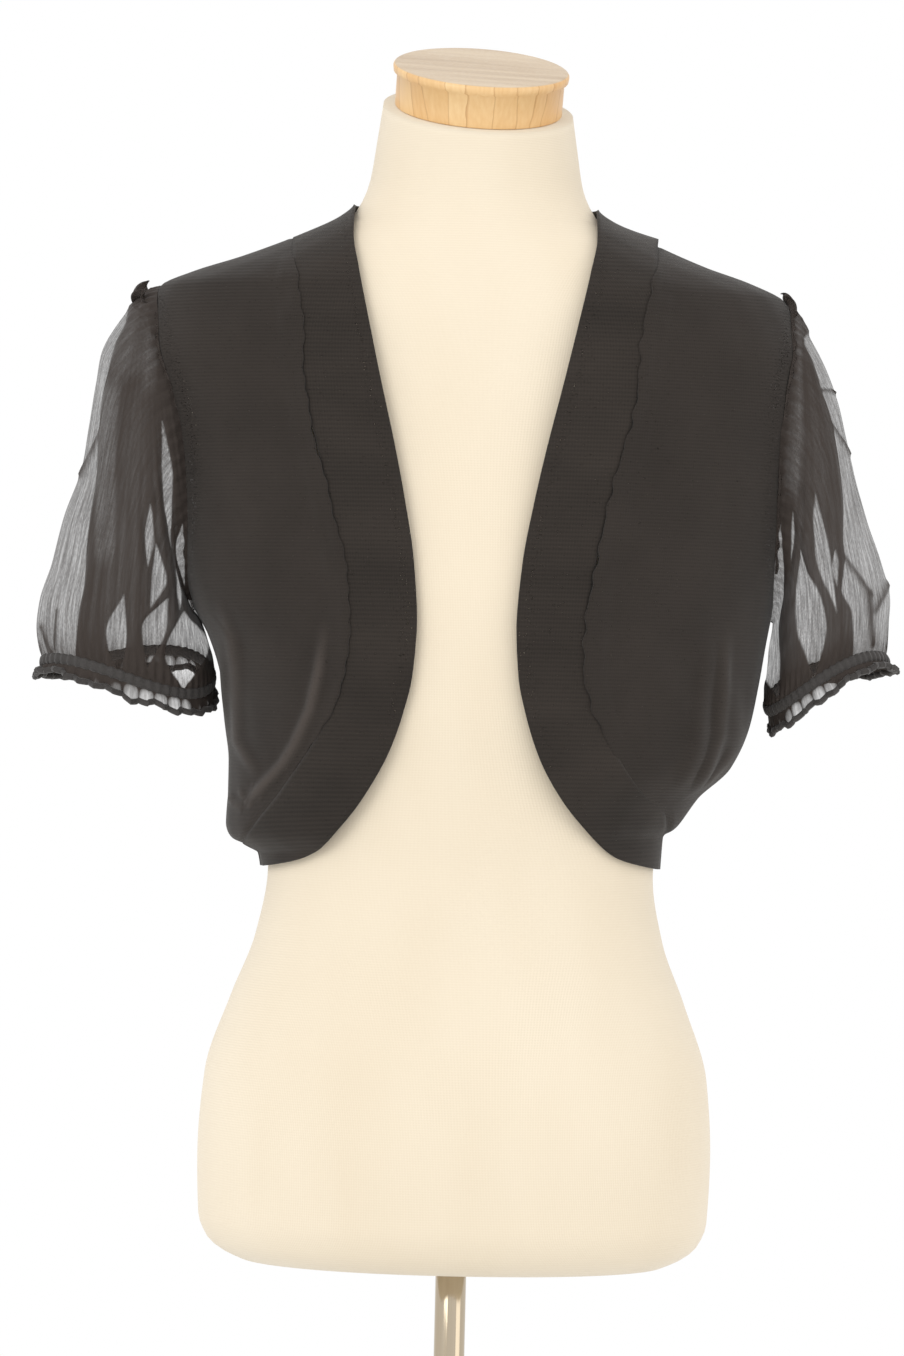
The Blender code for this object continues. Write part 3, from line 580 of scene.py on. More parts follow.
def faces_between(number):
    """Corners of the faces between neighbouring rows and columns of point numbers."""
    corners = (number[:-1, :-1], number[:-1, 1:], number[1:, 1:], number[1:, :-1])
    return np.stack(corners, -1).reshape(-1, 4)


def quads_of(rows, columns, round_trip):
    """Corner numbers of a grid's faces, for its points and, past the join, for its UV columns."""
    wide = columns + 1 if round_trip else columns
    return faces_between(np.arange(rows * wide).reshape(rows, wide))


def link(name, points, faces, uvs, material, nodes, values=None):
    """A smooth mesh object from points in millimetres, with a UV for each face corner, riding on
    the root and standing for its CAD nodes."""
    mesh = bpy.data.meshes.new(name)
    mesh.from_pydata((points * MM).tolist(), [], faces if isinstance(faces, list) else faces.tolist())
    if uvs is not None:
        layer = mesh.uv_layers.new(name="cloth")
        layer.data.foreach_set("uv", (uvs * MM).astype(np.float32).ravel())
    for key, value in (values or {}).items():
        held = mesh.attributes.new(key, "FLOAT", "POINT")
        held.data.foreach_set("value", value.astype(np.float32).ravel())
    mesh.shade_smooth()
    mesh.materials.append(material)
    made = bpy.data.objects.new(name, mesh)
    bpy.context.scene.collection.objects.link(made)
    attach(made, "root")
    if nodes:
        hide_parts(*nodes)
    return made


def one_layer(name, grid, uv, material, nodes, round_trip=False, values=None):
    """A sheet one layer thick on a grid of points, rows by columns."""
    rows, columns = grid.shape[:2]
    corners = quads_of(rows, columns, round_trip)
    flat_uv = uv.reshape(-1, 2)[corners].reshape(-1, 2)
    if round_trip:
        wide = columns + 1
        corners = corners // wide * columns + corners % wide % columns
    return link(name, grid.reshape(-1, 3), corners, flat_uv, material, nodes, values)


def two_layers(name, inner, outer, uv, material, nodes, round_trip=False, values=None):
    """A closed shell between two grids of points; its rims are single rows of faces."""
    facing = np.cross(outer[:-1, 1:] - outer[:-1, :-1], outer[1:, :-1] - outer[:-1, :-1])
    if np.sum(facing * (outer - inner)[:-1, :-1]) < 0:
        inner, outer, uv = inner[:, ::-1], outer[:, ::-1], uv[:, ::-1]
        values = {key: value[:, ::-1] for key, value in (values or {}).items()}
    rows, columns = inner.shape[:2]
    corners = quads_of(rows, columns, round_trip)
    wide = columns + 1 if round_trip else columns
    grid_size = rows * wide
    number = np.arange(grid_size).reshape(rows, wide)
    other = number + grid_size

    def rim(a, b, c, d):
        """Faces of one rim, from its four rows of corners."""
        return np.stack((a, b, c, d), -1)

    parts = [
        corners + grid_size,
        corners[:, [0, 3, 2, 1]],
        rim(number[0, :-1], number[0, 1:], other[0, 1:], other[0, :-1]),
        rim(number[-1, 1:], number[-1, :-1], other[-1, :-1], other[-1, 1:]),
    ]
    if not round_trip:
        parts.append(rim(number[1:, 0], number[:-1, 0], other[:-1, 0], other[1:, 0]))
        parts.append(rim(number[:-1, -1], number[1:, -1], other[1:, -1], other[:-1, -1]))
    faces = np.concatenate(parts)
    both_uv = np.concatenate((uv.reshape(-1, 2), uv.reshape(-1, 2)))
    flat_uv = both_uv[faces].reshape(-1, 2)
    if round_trip:
        layer, rest = faces // grid_size, faces % grid_size
        faces = layer * rows * columns + rest // wide * columns + rest % wide % columns
    points = np.concatenate((inner.reshape(-1, 3), outer.reshape(-1, 3)))
    doubled = {key: np.concatenate((value.ravel(), value.ravel())) for key, value in (values or {}).items()}
    return link(name, points, faces, flat_uv, material, nodes, doubled)


def outwards(grid, uv, values):
    """The grid, or it with its columns backwards, so that its faces look away from its middle."""
    facing = np.cross(grid[:-1, 1:] - grid[:-1, :-1], grid[1:, :-1] - grid[:-1, :-1])
    if np.sum(facing * (grid - grid.mean((0, 1)))[:-1, :-1]) < 0:
        return grid[:, ::-1], uv[:, ::-1], {key: value[:, ::-1] for key, value in values.items()}
    return grid, uv, values


def solid(name, rings, material, nodes):
    """Rings of points joined in order and closed by a fan at each end."""
    count, sides = rings.shape[:2]
    number = np.arange(count * sides).reshape(count, sides)
    number = np.concatenate((number, number[:, :1]), 1)
    low, high = count * sides, count * sides + 1
    start = np.stack((np.full(sides, low), number[0, 1:], number[0, :-1]), -1)
    end = np.stack((np.full(sides, high), number[-1, :-1], number[-1, 1:]), -1)
    points = np.concatenate((rings.reshape(-1, 3), [rings[0].mean(0)], [rings[-1].mean(0)]))
    faces = faces_between(number).tolist() + start.tolist() + end.tolist()
    return link(name, points, faces, None, material, nodes)


def tube(name, path, across, up, material, nodes, sides):
    """A closed loop of a tube: ovals of the two half widths, given as vectors at each point."""
    turn = np.arange(sides) * TAU / sides
    rings = path[:, None] + across[:, None] * np.cos(turn)[:, None] + up[:, None] * np.sin(turn)[:, None]
    count = len(path)
    number = np.arange(count * sides).reshape(count, sides)
    number = np.concatenate((number, number[:1]))
    number = np.concatenate((number, number[:, :1]), 1)
    corners = faces_between(number)
    facing = np.cross(rings[0, 1] - rings[0, 0], rings[1, 0] - rings[0, 0])
    if np.sum(facing * (rings[0, 0] - path[0])) > 0:
        corners = corners[:, ::-1]
    return link(name, rings.reshape(-1, 3), corners, None, material, nodes)


def add(tree, kind, inputs=None, **settings):
    """A shader node; each input is a value or another node's output."""
    made = tree.nodes.new(kind)
    for key, value in settings.items():
        setattr(made, key, value)
    for key, value in (inputs or {}).items():
        if isinstance(value, bpy.types.NodeSocket):
            tree.links.new(value, made.inputs[key])
        else:
            made.inputs[key].default_value = value
    return made


def math(tree, operation, *values):
    """The result of a Math node."""
    return add(tree, "ShaderNodeMath", dict(enumerate(values)), operation=operation).outputs[0]


def noise(tree, vector, scale, stretch=(1, 1, 1), detail=3.0):
    """Noise whose cells are 1 / scale metres, and longer where stretch is below 1."""
    place = add(tree, "ShaderNodeMapping", {"Vector": vector, "Scale": stretch}).outputs[0]
    return add(tree, "ShaderNodeTexNoise", {"Vector": place, "Scale": scale, "Detail": detail}).outputs[0]


def stripes(tree, along, pitch):
    """0 to 1 and back along one coordinate every pitch."""
    wave = math(tree, "SINE", math(tree, "MULTIPLY", along, TAU / pitch))
    return math(tree, "MULTIPLY_ADD", wave, 0.5, 0.5)


def between(tree, value, low, high, out_low=0.0, out_high=1.0):
    """The value carried from one range to another and held there."""
    inputs = {"Value": value, 1: low, 2: high, 3: out_low, 4: out_high}
    return add(tree, "ShaderNodeMapRange", inputs, clamp=True).outputs[0]


def blend(tree, share, first, second):
    """A colour between two others."""
    mixed = add(tree, "ShaderNodeMix", {0: share, 6: first, 7: second}, data_type="RGBA")
    return mixed.outputs[2]


def bump(tree, shader, height, strength, distance):
    """Relief on the shader's normal."""
    inputs = {"Height": height, "Strength": strength, "Distance": distance}
    made = add(tree, "ShaderNodeBump", inputs)
    tree.links.new(made.outputs[0], shader.inputs["Normal"])


def new_material(name, **sockets):
    """A material, its node tree and its shader with the named sockets set."""
    material = bpy.data.materials.new(name)
    material.use_nodes = True
    tree = material.node_tree
    shader = tree.nodes["Principled BSDF"]
    for key, value in sockets.items():
        shader.inputs[key.replace("_", " ")].default_value = value
    return material, tree, shader


def object_place(tree):
    """Object coordinates, whole and as x, y and z."""
    whole = add(tree, "ShaderNodeTexCoord").outputs["Object"]
    return whole, *add(tree, "ShaderNodeSeparateXYZ", {0: whole}).outputs


def cloth_place(tree):
    """The cloth's own coordinates, across and along it in metres."""
    return add(tree, "ShaderNodeUVMap", uv_map="cloth").outputs[0]


def jersey():
    """Cream jersey: fine upright wales, faint courses and a soft unevenness."""
    material, tree, shader = new_material("cream_jersey", Roughness=0.85, Sheen_Weight=0.25)
    whole, x, y, z = object_place(tree)
    around = math(tree, "MULTIPLY", math(tree, "ARCTAN2", y, x), JERSEY_RADIUS)
    wales = stripes(tree, around, JERSEY_WALE)
    courses = stripes(tree, z, JERSEY_COURSE)
    fuzz = noise(tree, whole, 900, detail=2.0)
    cloud = noise(tree, whole, 9, (1, 1, 0.4))
    weave = math(tree, "ADD", math(tree, "MULTIPLY", wales, 0.7), math(tree, "MULTIPLY", courses, 0.3))
    tone = math(tree, "MULTIPLY_ADD", weave, 0.35, math(tree, "MULTIPLY", cloud, 0.65))
    colour = blend(tree, between(tree, tone, 0.25, 0.75), (0.755, 0.645, 0.485, 1), (0.845, 0.75, 0.60, 1))
    tree.links.new(colour, shader.inputs["Base Color"])
    bump(tree, shader, math(tree, "MULTIPLY_ADD", fuzz, 0.3, weave), 0.35, 0.0003)
    return material


def wood():
    """Varnished wood: upright staves round the side, each of its own tone with a thin dark line
    between, and long soft growth lines across the top."""
    material, tree, shader = new_material("turned_wood", Roughness=0.38, Specular_IOR_Level=0.5)
    whole, x, y, _ = object_place(tree)
    facing = add(tree, "ShaderNodeTexCoord").outputs["Normal"]
    is_top = between(tree, add(tree, "ShaderNodeSeparateXYZ", {0: facing}).outputs[2], 0.6, 0.8)
    drift = noise(tree, whole, 55, (1, 1, 0.05))
    around = math(tree, "MULTIPLY", math(tree, "ARCTAN2", y, x), CAP_RADIUS * MM / STAVE)
    around = math(tree, "ADD", around, math(tree, "MULTIPLY", drift, 1.3))
    stave = add(tree, "ShaderNodeTexWhiteNoise", {1: math(tree, "FLOOR", around)}, noise_dimensions="1D")
    line = between(tree, math(tree, "FRACT", around), 0.0, 0.09, 1.0, 0.0)
    fibre = noise(tree, whole, 420, (1, 1, 0.03), 4.0)
    tone = math(tree, "MULTIPLY_ADD", stave.outputs["Value"], 0.45, math(tree, "MULTIPLY", fibre, 0.55))
    side = blend(tree, between(tree, tone, 0.15, 0.85), (0.70, 0.40, 0.155, 1), (0.86, 0.61, 0.32, 1))
    side = blend(tree, math(tree, "MULTIPLY", line, 0.7), side, (0.48, 0.23, 0.08, 1))
    rings = noise(tree, whole, 120, (0.07, 1, 1), 4.0)
    broad = noise(tree, whole, 22, (0.3, 1, 1))
    tone = math(tree, "MULTIPLY_ADD", rings, 0.6, math(tree, "MULTIPLY", broad, 0.4))
    top = blend(tree, between(tree, tone, 0.3, 0.7), (0.50, 0.365, 0.235, 1), (0.71, 0.575, 0.41, 1))
    tree.links.new(blend(tree, is_top, side, top), shader.inputs["Base Color"])
    tree.links.new(between(tree, fibre, 0.2, 0.8, 0.28, 0.5), shader.inputs["Roughness"])
    bump(tree, shader, math(tree, "MULTIPLY_ADD", line, -0.8, fibre), 0.3, 0.0004)
    return material


def metal(name, light, dark, roughness, scale, stretch):
    """Plated or brushed metal: a fine grain in its colour and roughness."""
    material, tree, shader = new_material(name, Metallic=1.0)
    whole = object_place(tree)[0]
    grain = noise(tree, whole, scale, stretch, 4.0)
    tree.links.new(blend(tree, grain, dark, light), shader.inputs["Base Color"])
    rough = between(tree, grain, 0.25, 0.75, roughness * 0.75, roughness * 1.3)
    tree.links.new(rough, shader.inputs["Roughness"])
    bump(tree, shader, grain, 0.05, 0.0001)
    return material


def knit(name, dark, light, along, row, wale):
    """Fine black knit: courses and wales as relief, a cloudy tone and pinholes where it is thin."""
    material, tree, shader = new_material(name, Roughness=0.92, Sheen_Weight=0.12, Sheen_Roughness=0.5,
                                          Specular_IOR_Level=0.25)
    whole = cloth_place(tree)
    u, v, _ = add(tree, "ShaderNodeSeparateXYZ", {0: whole}).outputs
    courses = stripes(tree, v, row)
    wales = stripes(tree, u, wale)
    fuzz = noise(tree, whole, 1500, detail=2.0)
    cloud = noise(tree, whole, 28, along)
    loops = math(tree, "MULTIPLY_ADD", courses, 0.65, math(tree, "MULTIPLY", wales, 0.35))
    tone = math(tree, "MULTIPLY_ADD", loops, 0.32, math(tree, "MULTIPLY", cloud, 0.68))
    colour = blend(tree, between(tree, tone, 0.2, 0.8), dark, light)
    # Painted highlight: the folds' crests, from the crest attribute, are blended towards a paler knit colour
    crest = add(tree, "ShaderNodeAttribute", attribute_name="crest").outputs["Fac"]
    painted_highlight = math(tree, "MULTIPLY", crest, math(tree, "MULTIPLY_ADD", fuzz, 0.8, 0.6))
    colour = blend(tree, painted_highlight, colour, CREST_HIGHLIGHT_KNIT)
    tree.links.new(colour, shader.inputs["Base Color"])
    bump(tree, shader, math(tree, "MULTIPLY_ADD", fuzz, 0.6, loops), 0.35, 0.0004)
    thin = add(tree, "ShaderNodeAttribute", attribute_name="thin").outputs["Fac"]
    holes = noise(tree, whole, 1100, detail=1.0)
    open_share = between(tree, math(tree, "MULTIPLY_ADD", thin, 0.16, holes), 0.70, 0.76)
    tree.links.new(math(tree, "SUBTRACT", 1.0, open_share), shader.inputs["Alpha"])
    return material


def chiffon(name, sheer):
    """Black crinkled chiffon: see-through, with streaks along it, and denser in its creases."""
    material, tree, shader = new_material(name, Roughness=0.7, Sheen_Weight=0.04, Specular_IOR_Level=0.2)
    whole = cloth_place(tree)
    streak = noise(tree, whole, 480, (1, 0.06, 1), 3.0)
    fleck = noise(tree, whole, 900, (1, 0.35, 1), 2.0)
    crepe = math(tree, "MULTIPLY_ADD", streak, 0.65, math(tree, "MULTIPLY", fleck, 0.35))
    dense = add(tree, "ShaderNodeAttribute", attribute_name="dense").outputs["Fac"]
    uneven = between(tree, crepe, 0.38, 0.62, -0.19, 0.21)
    uneven = math(tree, "MULTIPLY", uneven, between(tree, dense, 0.0, 0.55, 1.0, 0.12))
    alpha = math(tree, "ADD", math(tree, "ADD", dense, sheer), uneven)
    tree.links.new(alpha, shader.inputs["Alpha"])
    tree.links.new(blend(tree, crepe, CHIFFON_DARK, CHIFFON_LIGHT), shader.inputs["Base Color"])
    bump(tree, shader, crepe, 0.4, 0.0003)
    return material


def gathered(name, dark, light):
    """Chiffon bunched over elastic: near solid, with a fine broken relief."""
    material, tree, shader = new_material(name, Roughness=0.75, Sheen_Weight=0.2)
    whole = object_place(tree)[0]
    fine = noise(tree, whole, 900, detail=3.0)
    tree.links.new(blend(tree, fine, dark, light), shader.inputs["Base Color"])
    bump(tree, shader, fine, 0.5, 0.0004)
    return material


JERSEY = jersey()
WOOD = wood()
# The chrome's brownish base colour is a painted reflection of darker surroundings
CHROME = metal("chrome_plate", (0.60, 0.53, 0.42, 1), (0.38, 0.30, 0.20, 1), 0.10, 160, (1, 1, 0.01))
STEEL = metal("brushed_steel", (0.66, 0.65, 0.63, 1), (0.50, 0.49, 0.47, 1), 0.34, 400, (1, 0.05, 1))
KNIT = knit("fine_knit", (0.019, 0.0148, 0.0120, 1), (0.034, 0.027, 0.0225, 1), (1, 0.6, 1),
            0.0022, 0.0010)
BAND_KNIT = knit("band_knit", (0.0155, 0.0122, 0.0097, 1), (0.0355, 0.028, 0.023, 1), (0.6, 1, 1),
                 0.0027, 0.0012)
CHIFFON = chiffon("sleeve_chiffon", 0.42)
GATHERED = gathered("bunched_chiffon", (0.018, 0.0155, 0.0145, 1), (0.05, 0.044, 0.041, 1))


def rings_of(circle, rows):
    """Level rings of a round part, one for each radius and height."""
    return np.stack([circle * (radius, radius, 1) + (0, 0, height) for radius, height in rows])


def circle_of(t):
    """Level circle of radius 1 round the pole."""
    return np.stack((np.cos(t), np.sin(t), 0 * t), -1)


def softened(rows):
    """The rows with two points for each corner, a little way off it along either side."""
    soft = []
    for i, (radius, height) in enumerate(rows):
        for other in (rows[max(i - 1, 0)], rows[min(i + 1, len(rows) - 1)]):
            away = np.array(other, float) - (radius, height)
            length = np.hypot(*away)
            if length:
                soft.append(np.array((radius, height)) + away * min(FOOT_CORNER, length / 3) / length)
    return soft


def make_torso(t):
    """Torso: oval rings joined upwards from a flat underside. Returns the top ring."""
    rows = TORSO["height"]
    heights = np.concatenate([np.linspace(a, b, max(2, int((b - a) / TORSO_STEP)), endpoint=False)
                              for a, b in zip(rows[:-1], rows[1:])] + [rows[-1:]])
    body = torso_point(t[None, :], heights[:, None])
    underside = [body[0] * (share, share, 1) for share in UNDERSIDE_SHARES]
    solid("torso_jersey", np.concatenate((underside, body)), JERSEY, ["form_torso"])
    return body[-1]


def make_cap(t, top):
    """Neck cap standing on the torso's top ring: a round lower edge, a straight side, a lip that
    stands out and a round upper edge."""
    quarter = FORM_AROUND // 4
    axis = unit(np.cross(top[0] - top[2 * quarter], top[quarter] - top[3 * quarter]))
    across = unit(np.cross((0, 1, 0), axis))
    around = np.cross(axis, across)
    circle = np.outer(np.cos(t), across) + np.outer(np.sin(t), around)
    corner = np.linspace(0, np.pi / 2, 7)
    low = [(CAP_RADIUS - CAP_LIP - 1 + np.sin(a), 1 - np.cos(a)) for a in corner]
    lip = [(CAP_RADIUS - CAP_LIP, CAP_THICKNESS - 7), (CAP_RADIUS - 0.4, CAP_THICKNESS - 5.4)]
    high = [(CAP_RADIUS - CAP_ROUND * (1 - np.cos(a)), CAP_THICKNESS - CAP_ROUND * (1 - np.sin(a)))
            for a in corner]
    inside = [(CAP_RADIUS * share, CAP_THICKNESS) for share in (0.93, 0.7, 0.4, 0.1)]
    centre = top.mean(0) + axis * CAP_GAP
    rings = [centre + circle * radius + axis * height for radius, height in low + lip + high + inside]
    solid("neck_cap_wood", np.stack(rings), WOOD, ["form_neck_cap"])


def make_form():
    """Torso, wooden cap, pole and foot: rings of points joined upwards."""
    t = np.arange(FORM_AROUND) * TAU / FORM_AROUND
    make_cap(t, make_torso(t))
    pole = rings_of(circle_of(t[::4]), POLE_ROWS)
    solid("pole_chrome", pole, CHROME, ["form_pole"])
    foot = rings_of(circle_of(t), [FOOT_UNDERSIDE, *softened(FOOT_ROWS), *FOOT_BORE_ROWS])
    solid("foot_steel", foot, STEEL, ["form_base"])


def blouse(t, z):
    """How much the panels hang over the hem's seam, unevenly round the body, and how far up that
    overhang the height is, from 0 at the seam to 1."""
    up = np.clip((z - HEM_HEIGHT) / BLOUSE_REACH, 0, 1)
    side = 0.25 + 0.75 * np.sin(t) ** 2
    uneven = side * (0.85 + 0.35 * ripple(9 * np.cos(t), 9 * np.sin(t), 11))
    return uneven, up


def panel_point(t, z, side=0, shift=0):
    """The cloth, with puckers beside the front band's seam and a blouse over the hem's seam; shift
    moves a row up or down the cloth."""
    share, up = blouse(t, z)
    loop = np.sin(np.pi * up)
    place = cloth_point(t, z + shift)
    normal = normal_of(cloth_point, t, z + shift)
    level = unit(normal * (1, 1, 0))
    if side:
        (seam, _), _ = band_lines(side, z)
        away = np.abs(t - seam) * GIRTH_RADIUS
        pucker = ripple(z / 7, 0 * z, 5 + side) * 0.5 + 0.6
        shown = (1 - step(z, *LAP_TOP)) * (0.25 + 0.75 * step(z, *LAP_FOOT))
        ridge = PUCKER_RISE * pucker * np.exp(-(((away - PUCKER_AWAY) / PUCKER_WIDTH) ** 2))
        lap = SEAM_LAP_LIFT * (1 - step(away, 0, PUCKER_AWAY))
        place = place + normal * (shown * (ridge + lap))[..., None]
        share = share * step(away, 0, BLOUSE_CLEAR)
    place = place + level * (BLOUSE_OUT * share * loop**0.7)[..., None]
    drop = BLOUSE_DROP * share * loop**1.3 * np.sqrt(1 - up)
    return place - drop[..., None] * (0, 0, 1)


def rolled_point(t, z, side, share):
    """The cloth, with the left band standing up along its seam where it crosses the shoulder."""
    turn = np.arctan2(np.sin(t), np.cos(t) * side)
    roll = SHOULDER_ROLL * (side > 0) * share**2 * np.exp(-((turn / 0.35) ** 2)) * step(z, 1360, 1405)
    return cloth_point(t, z) + normal_of(plain_cloth, t, z) * roll[..., None]


def panel_heights():
    """Heights of a panel's rows, closest where the armhole turns level."""
    middle, half = (ARMHOLE_TOP + ARMHOLE_BOTTOM) / 2, (ARMHOLE_TOP - ARMHOLE_BOTTOM) / 2
    above = np.linspace(BAND["seam_height"][0], ARMHOLE_TOP, 18)
    beside = middle + half * np.cos(np.linspace(0, np.pi, 120))
    below = np.linspace(ARMHOLE_BOTTOM, HEM_HEIGHT, 90)
    return np.concatenate((above[:-1], beside, below[1:]))


def thin_along(rows, edge, away, width):
    """How thin the knit is drawn beside the armhole: a bell of the distance from its edge."""
    beside = (rows < ARMHOLE_TOP) & (rows > ARMHOLE_BOTTOM)
    return beside * np.exp(-(((edge - away) / width) ** 2))


def cloth_piece(name, inner, t, z, thickness, material, nodes, values=None):
    """A wall of cloth from its inner side outwards; t and z place it on the weave."""
    normal = unit(np.cross(np.gradient(inner, axis=1), np.gradient(inner, axis=0)))
    normal *= np.sign(np.sum(normal * (inner * (1, 1, 0)), -1, keepdims=True).sum())
    uv = np.stack((t * GIRTH_RADIUS, z), -1)
    return two_layers(name, inner, inner + normal * thickness, uv, material, nodes, values=values)


def make_back(heights):
    """Back panel, from armhole to armhole. Its rows rise at the hem and drop at the neck."""
    rows = heights[:, None]
    first, last = (armhole_angle(heights, side, back=True) for side in (1, -1))
    t = first[:, None] + (last - first)[:, None] * np.linspace(0, 1, BACK_AROUND)
    at_neck = step(rows, ARMHOLE_TOP, heights[0])
    at_hem = 1 - step(rows, HEM_HEIGHT, HEM_SEAM_FADE)
    rise = np.sin(t) ** 2 * (HEM_SEAM_RISE * at_hem - NECK_SEAM_DROP * at_neck)
    z = rows + 0 * t
    edge = np.minimum(t - first[:, None], last[:, None] - t) * GIRTH_RADIUS
    thin = {"thin": thin_along(rows, edge, 9, 6)}
    back = cloth_piece("back_knit", panel_point(t, z, shift=rise), t, z, KNIT_WALL, KNIT,
                       ["back_panel"], thin)


def make_front(side, name, heights):
    """One front panel, from a wandering edge that laps the band's seam to the armhole."""
    rows = heights[:, None]
    (seam, _), _ = band_lines(side, heights)
    outer = armhole_angle(heights, side, back=False)
    wander = SEAM_LAP + SEAM_WANDER * ripple(heights / 9, 0 * heights, 91 + side)
    wander = wander * (1 - step(heights, *LAP_TOP))
    start = seam - side * wander / GIRTH_RADIUS * step(heights, 1040, 1060)
    t = start[:, None] + (outer - start)[:, None] * np.linspace(0, 1, FRONT_AROUND)
    z = rows + 0 * t
    edge = np.abs(outer[:, None] - t) * GIRTH_RADIUS
    thin = {"thin": thin_along(rows, edge, 10, 7) * (0.6 + 0.4 * ripple(z / 20, t * 6, 8)),
            # crest: how strong the painted highlight on the drawn folds' crests is
            "crest": crests(plain_cloth(t, z), side, 0.7)[1]}
    piece = cloth_piece(f"front_{name}_knit", panel_point(t, z, side), t, z, KNIT_WALL, KNIT,
                        [f"front_panel_{name}"], thin)


def make_front_band(side, name, heights):
    """One front stretch of the band, with a row of pinholes along its free edge."""
    seam, edge = band_lines(side, np.linspace(heights[0], heights[-1], BAND_STEPS))
    across = np.linspace(0, 1, BAND_ACROSS)
    t = edge[0][:, None] + (seam[0] - edge[0])[:, None] * across
    z = edge[1][:, None] + (seam[1] - edge[1])[:, None] * across
    rows_of_holes = np.exp(-(((across[None, :] - 0.16) / 0.05) ** 2))
    thin = {"thin": 0.62 * rows_of_holes * step(z, 1050, 1120) + 0 * t}
    piece = cloth_piece(f"band_{name}_knit", rolled_point(t, z, side, across[None, :]), t, z, BAND_WALL,
                        BAND_KNIT, [f"band_front_{name}"], thin)


def make_back_bands():
    """The band's stretches round the back neck and along the back waist."""
    across = np.linspace(0, 1, RING_ACROSS)[:, None]
    t = np.linspace(0, np.pi, RING_STEPS)[None] + 0 * across
    seam = BAND["seam_height"][0] - NECK_SEAM_DROP * np.sin(t) ** 2
    edge = BAND["edge_height"][0] + NECK_BAND_RISE * np.sin(t) ** 2
    z = seam + (edge - seam) * across
    piece = cloth_piece("band_neck_knit", rolled_point(t, z, 1, 1 - across), t, z, BAND_WALL, BAND_KNIT,
                        ["band_neck"])
    seam = HEM_HEIGHT + HEM_SEAM_RISE * np.sin(t) ** 2
    edge = BAND["edge_height"][-1]
    z = edge + (seam - edge) * across
    piece = cloth_piece("band_hem_knit", cloth_point(t, z), t, z, BAND_WALL, BAND_KNIT,
                        ["band_hem"])


def make_body():
    """Back, two fronts and the band in four stretches."""
    heights = panel_heights()
    make_back(heights)
    for side, name in SIDES:
        make_front(side, name, heights)
        make_front_band(side, name, heights)
    make_back_bands()


def armhole_outline(side, turns):
    """Edge of the armhole at those turns, 0 at the top and a quarter at the front: the points,
    the cloth's normals and the directions into the opening."""
    middle, half = (ARMHOLE_TOP + ARMHOLE_BOTTOM) / 2, (ARMHOLE_TOP - ARMHOLE_BOTTOM) / 2

    def edge_at(turns):
        """Angle and height of the edge at those turns."""
        z = middle + half * np.cos(turns)
        front, back = (armhole_angle(z, side, back) for back in (False, True))
        t = np.where(np.sin(turns) >= 0, front, back)
        return (np.where(t < -np.pi / 2, t + TAU, t) if side < 0 else t), z

    t, z = edge_at(turns)
    points = plain_cloth(t, z)
    normals = normal_of(plain_cloth, t, z)
    tangent = plain_cloth(*edge_at(turns + TURN_STEP)) - plain_cloth(*edge_at(turns - TURN_STEP))
    inwards = unit(np.cross(normals, tangent))
    heart = plain_cloth(np.array([0.0 if side > 0 else np.pi]), np.array([middle]))[0]
    inwards = inwards * np.sign(np.sum(inwards * (heart - points), -1, keepdims=True))
    return points, normals, inwards


def cuff_line(side, turns, name):
    """Oval cuff line, tilted, bowed and twisted, and the downward normal of its tilted plane."""
    cuff = dict(zip(CUFF_COLUMNS, CUFF_ROWS[name]))
    c, s = np.cos(turns), np.sin(turns)
    height = cuff["height"] + cuff["tilt_out"] * c + cuff["tilt_front"] * s
    height = height + cuff["bow"] * np.cos(2 * turns) + cuff["twist"] * np.sin(2 * turns)
    out = cuff["out"] + cuff["half_out"] * c
    front = cuff["front"] + cuff["half_front"] * s
    slope_out = cuff["tilt_out"] / cuff["half_out"]
    slope_front = cuff["tilt_front"] / cuff["half_front"]
    down = unit(np.array((side * slope_out, -slope_front, -1.0)))
    return np.stack((side * out, -front, height), -1), down


def by_turn(column, turns):
    """A sleeve value that is the top's, front's, armpit's and back's at the quarter turns."""
    i = SLEEVE_COLUMNS.index(column)
    c, s = np.cos(turns), np.sin(turns)
    shares = {
        "top": np.where(c > 0, c * c, 0),
        "front": np.where(s > 0, s * s, 0),
        "armpit": np.where(c < 0, c * c, 0),
        "back": np.where(s < 0, s * s, 0),
    }
    return sum(shares[row] * SLEEVE_ROWS[row][i] for row in SLEEVE_ROWS)


def sleeve_point(side, name, turns, w):
    """Cubic curve from the armhole, w = 0, to the cuff, w = 1, at each turn."""
    root, normals, inwards = armhole_outline(side, turns)
    uneven = ripple(turns * 9, 0 * turns, 81 + side)[..., None]
    over, under = 0.4 + 0.8 * uneven, 0.8 + 1.2 * uneven
    root = root + normals * (KNIT_WALL + over) - inwards * under
    cuff, _ = cuff_line(side, turns, name)
    lean = np.radians(by_turn("root_lean", turns))[..., None]
    first = root + by_turn("root_run", turns)[..., None] * (normals * np.cos(lean) + inwards * np.sin(lean))
    out, front, up = (by_turn(f"cuff_{way}", turns) for way in ("out", "front", "up"))
    second = cuff + np.stack((side * out, -front, up), -1)
    w = w[..., None]
    grid = (1 - w) ** 3 * root + 3 * (1 - w) ** 2 * w * first
    return grid + 3 * (1 - w) * w**2 * second + w**3 * cuff


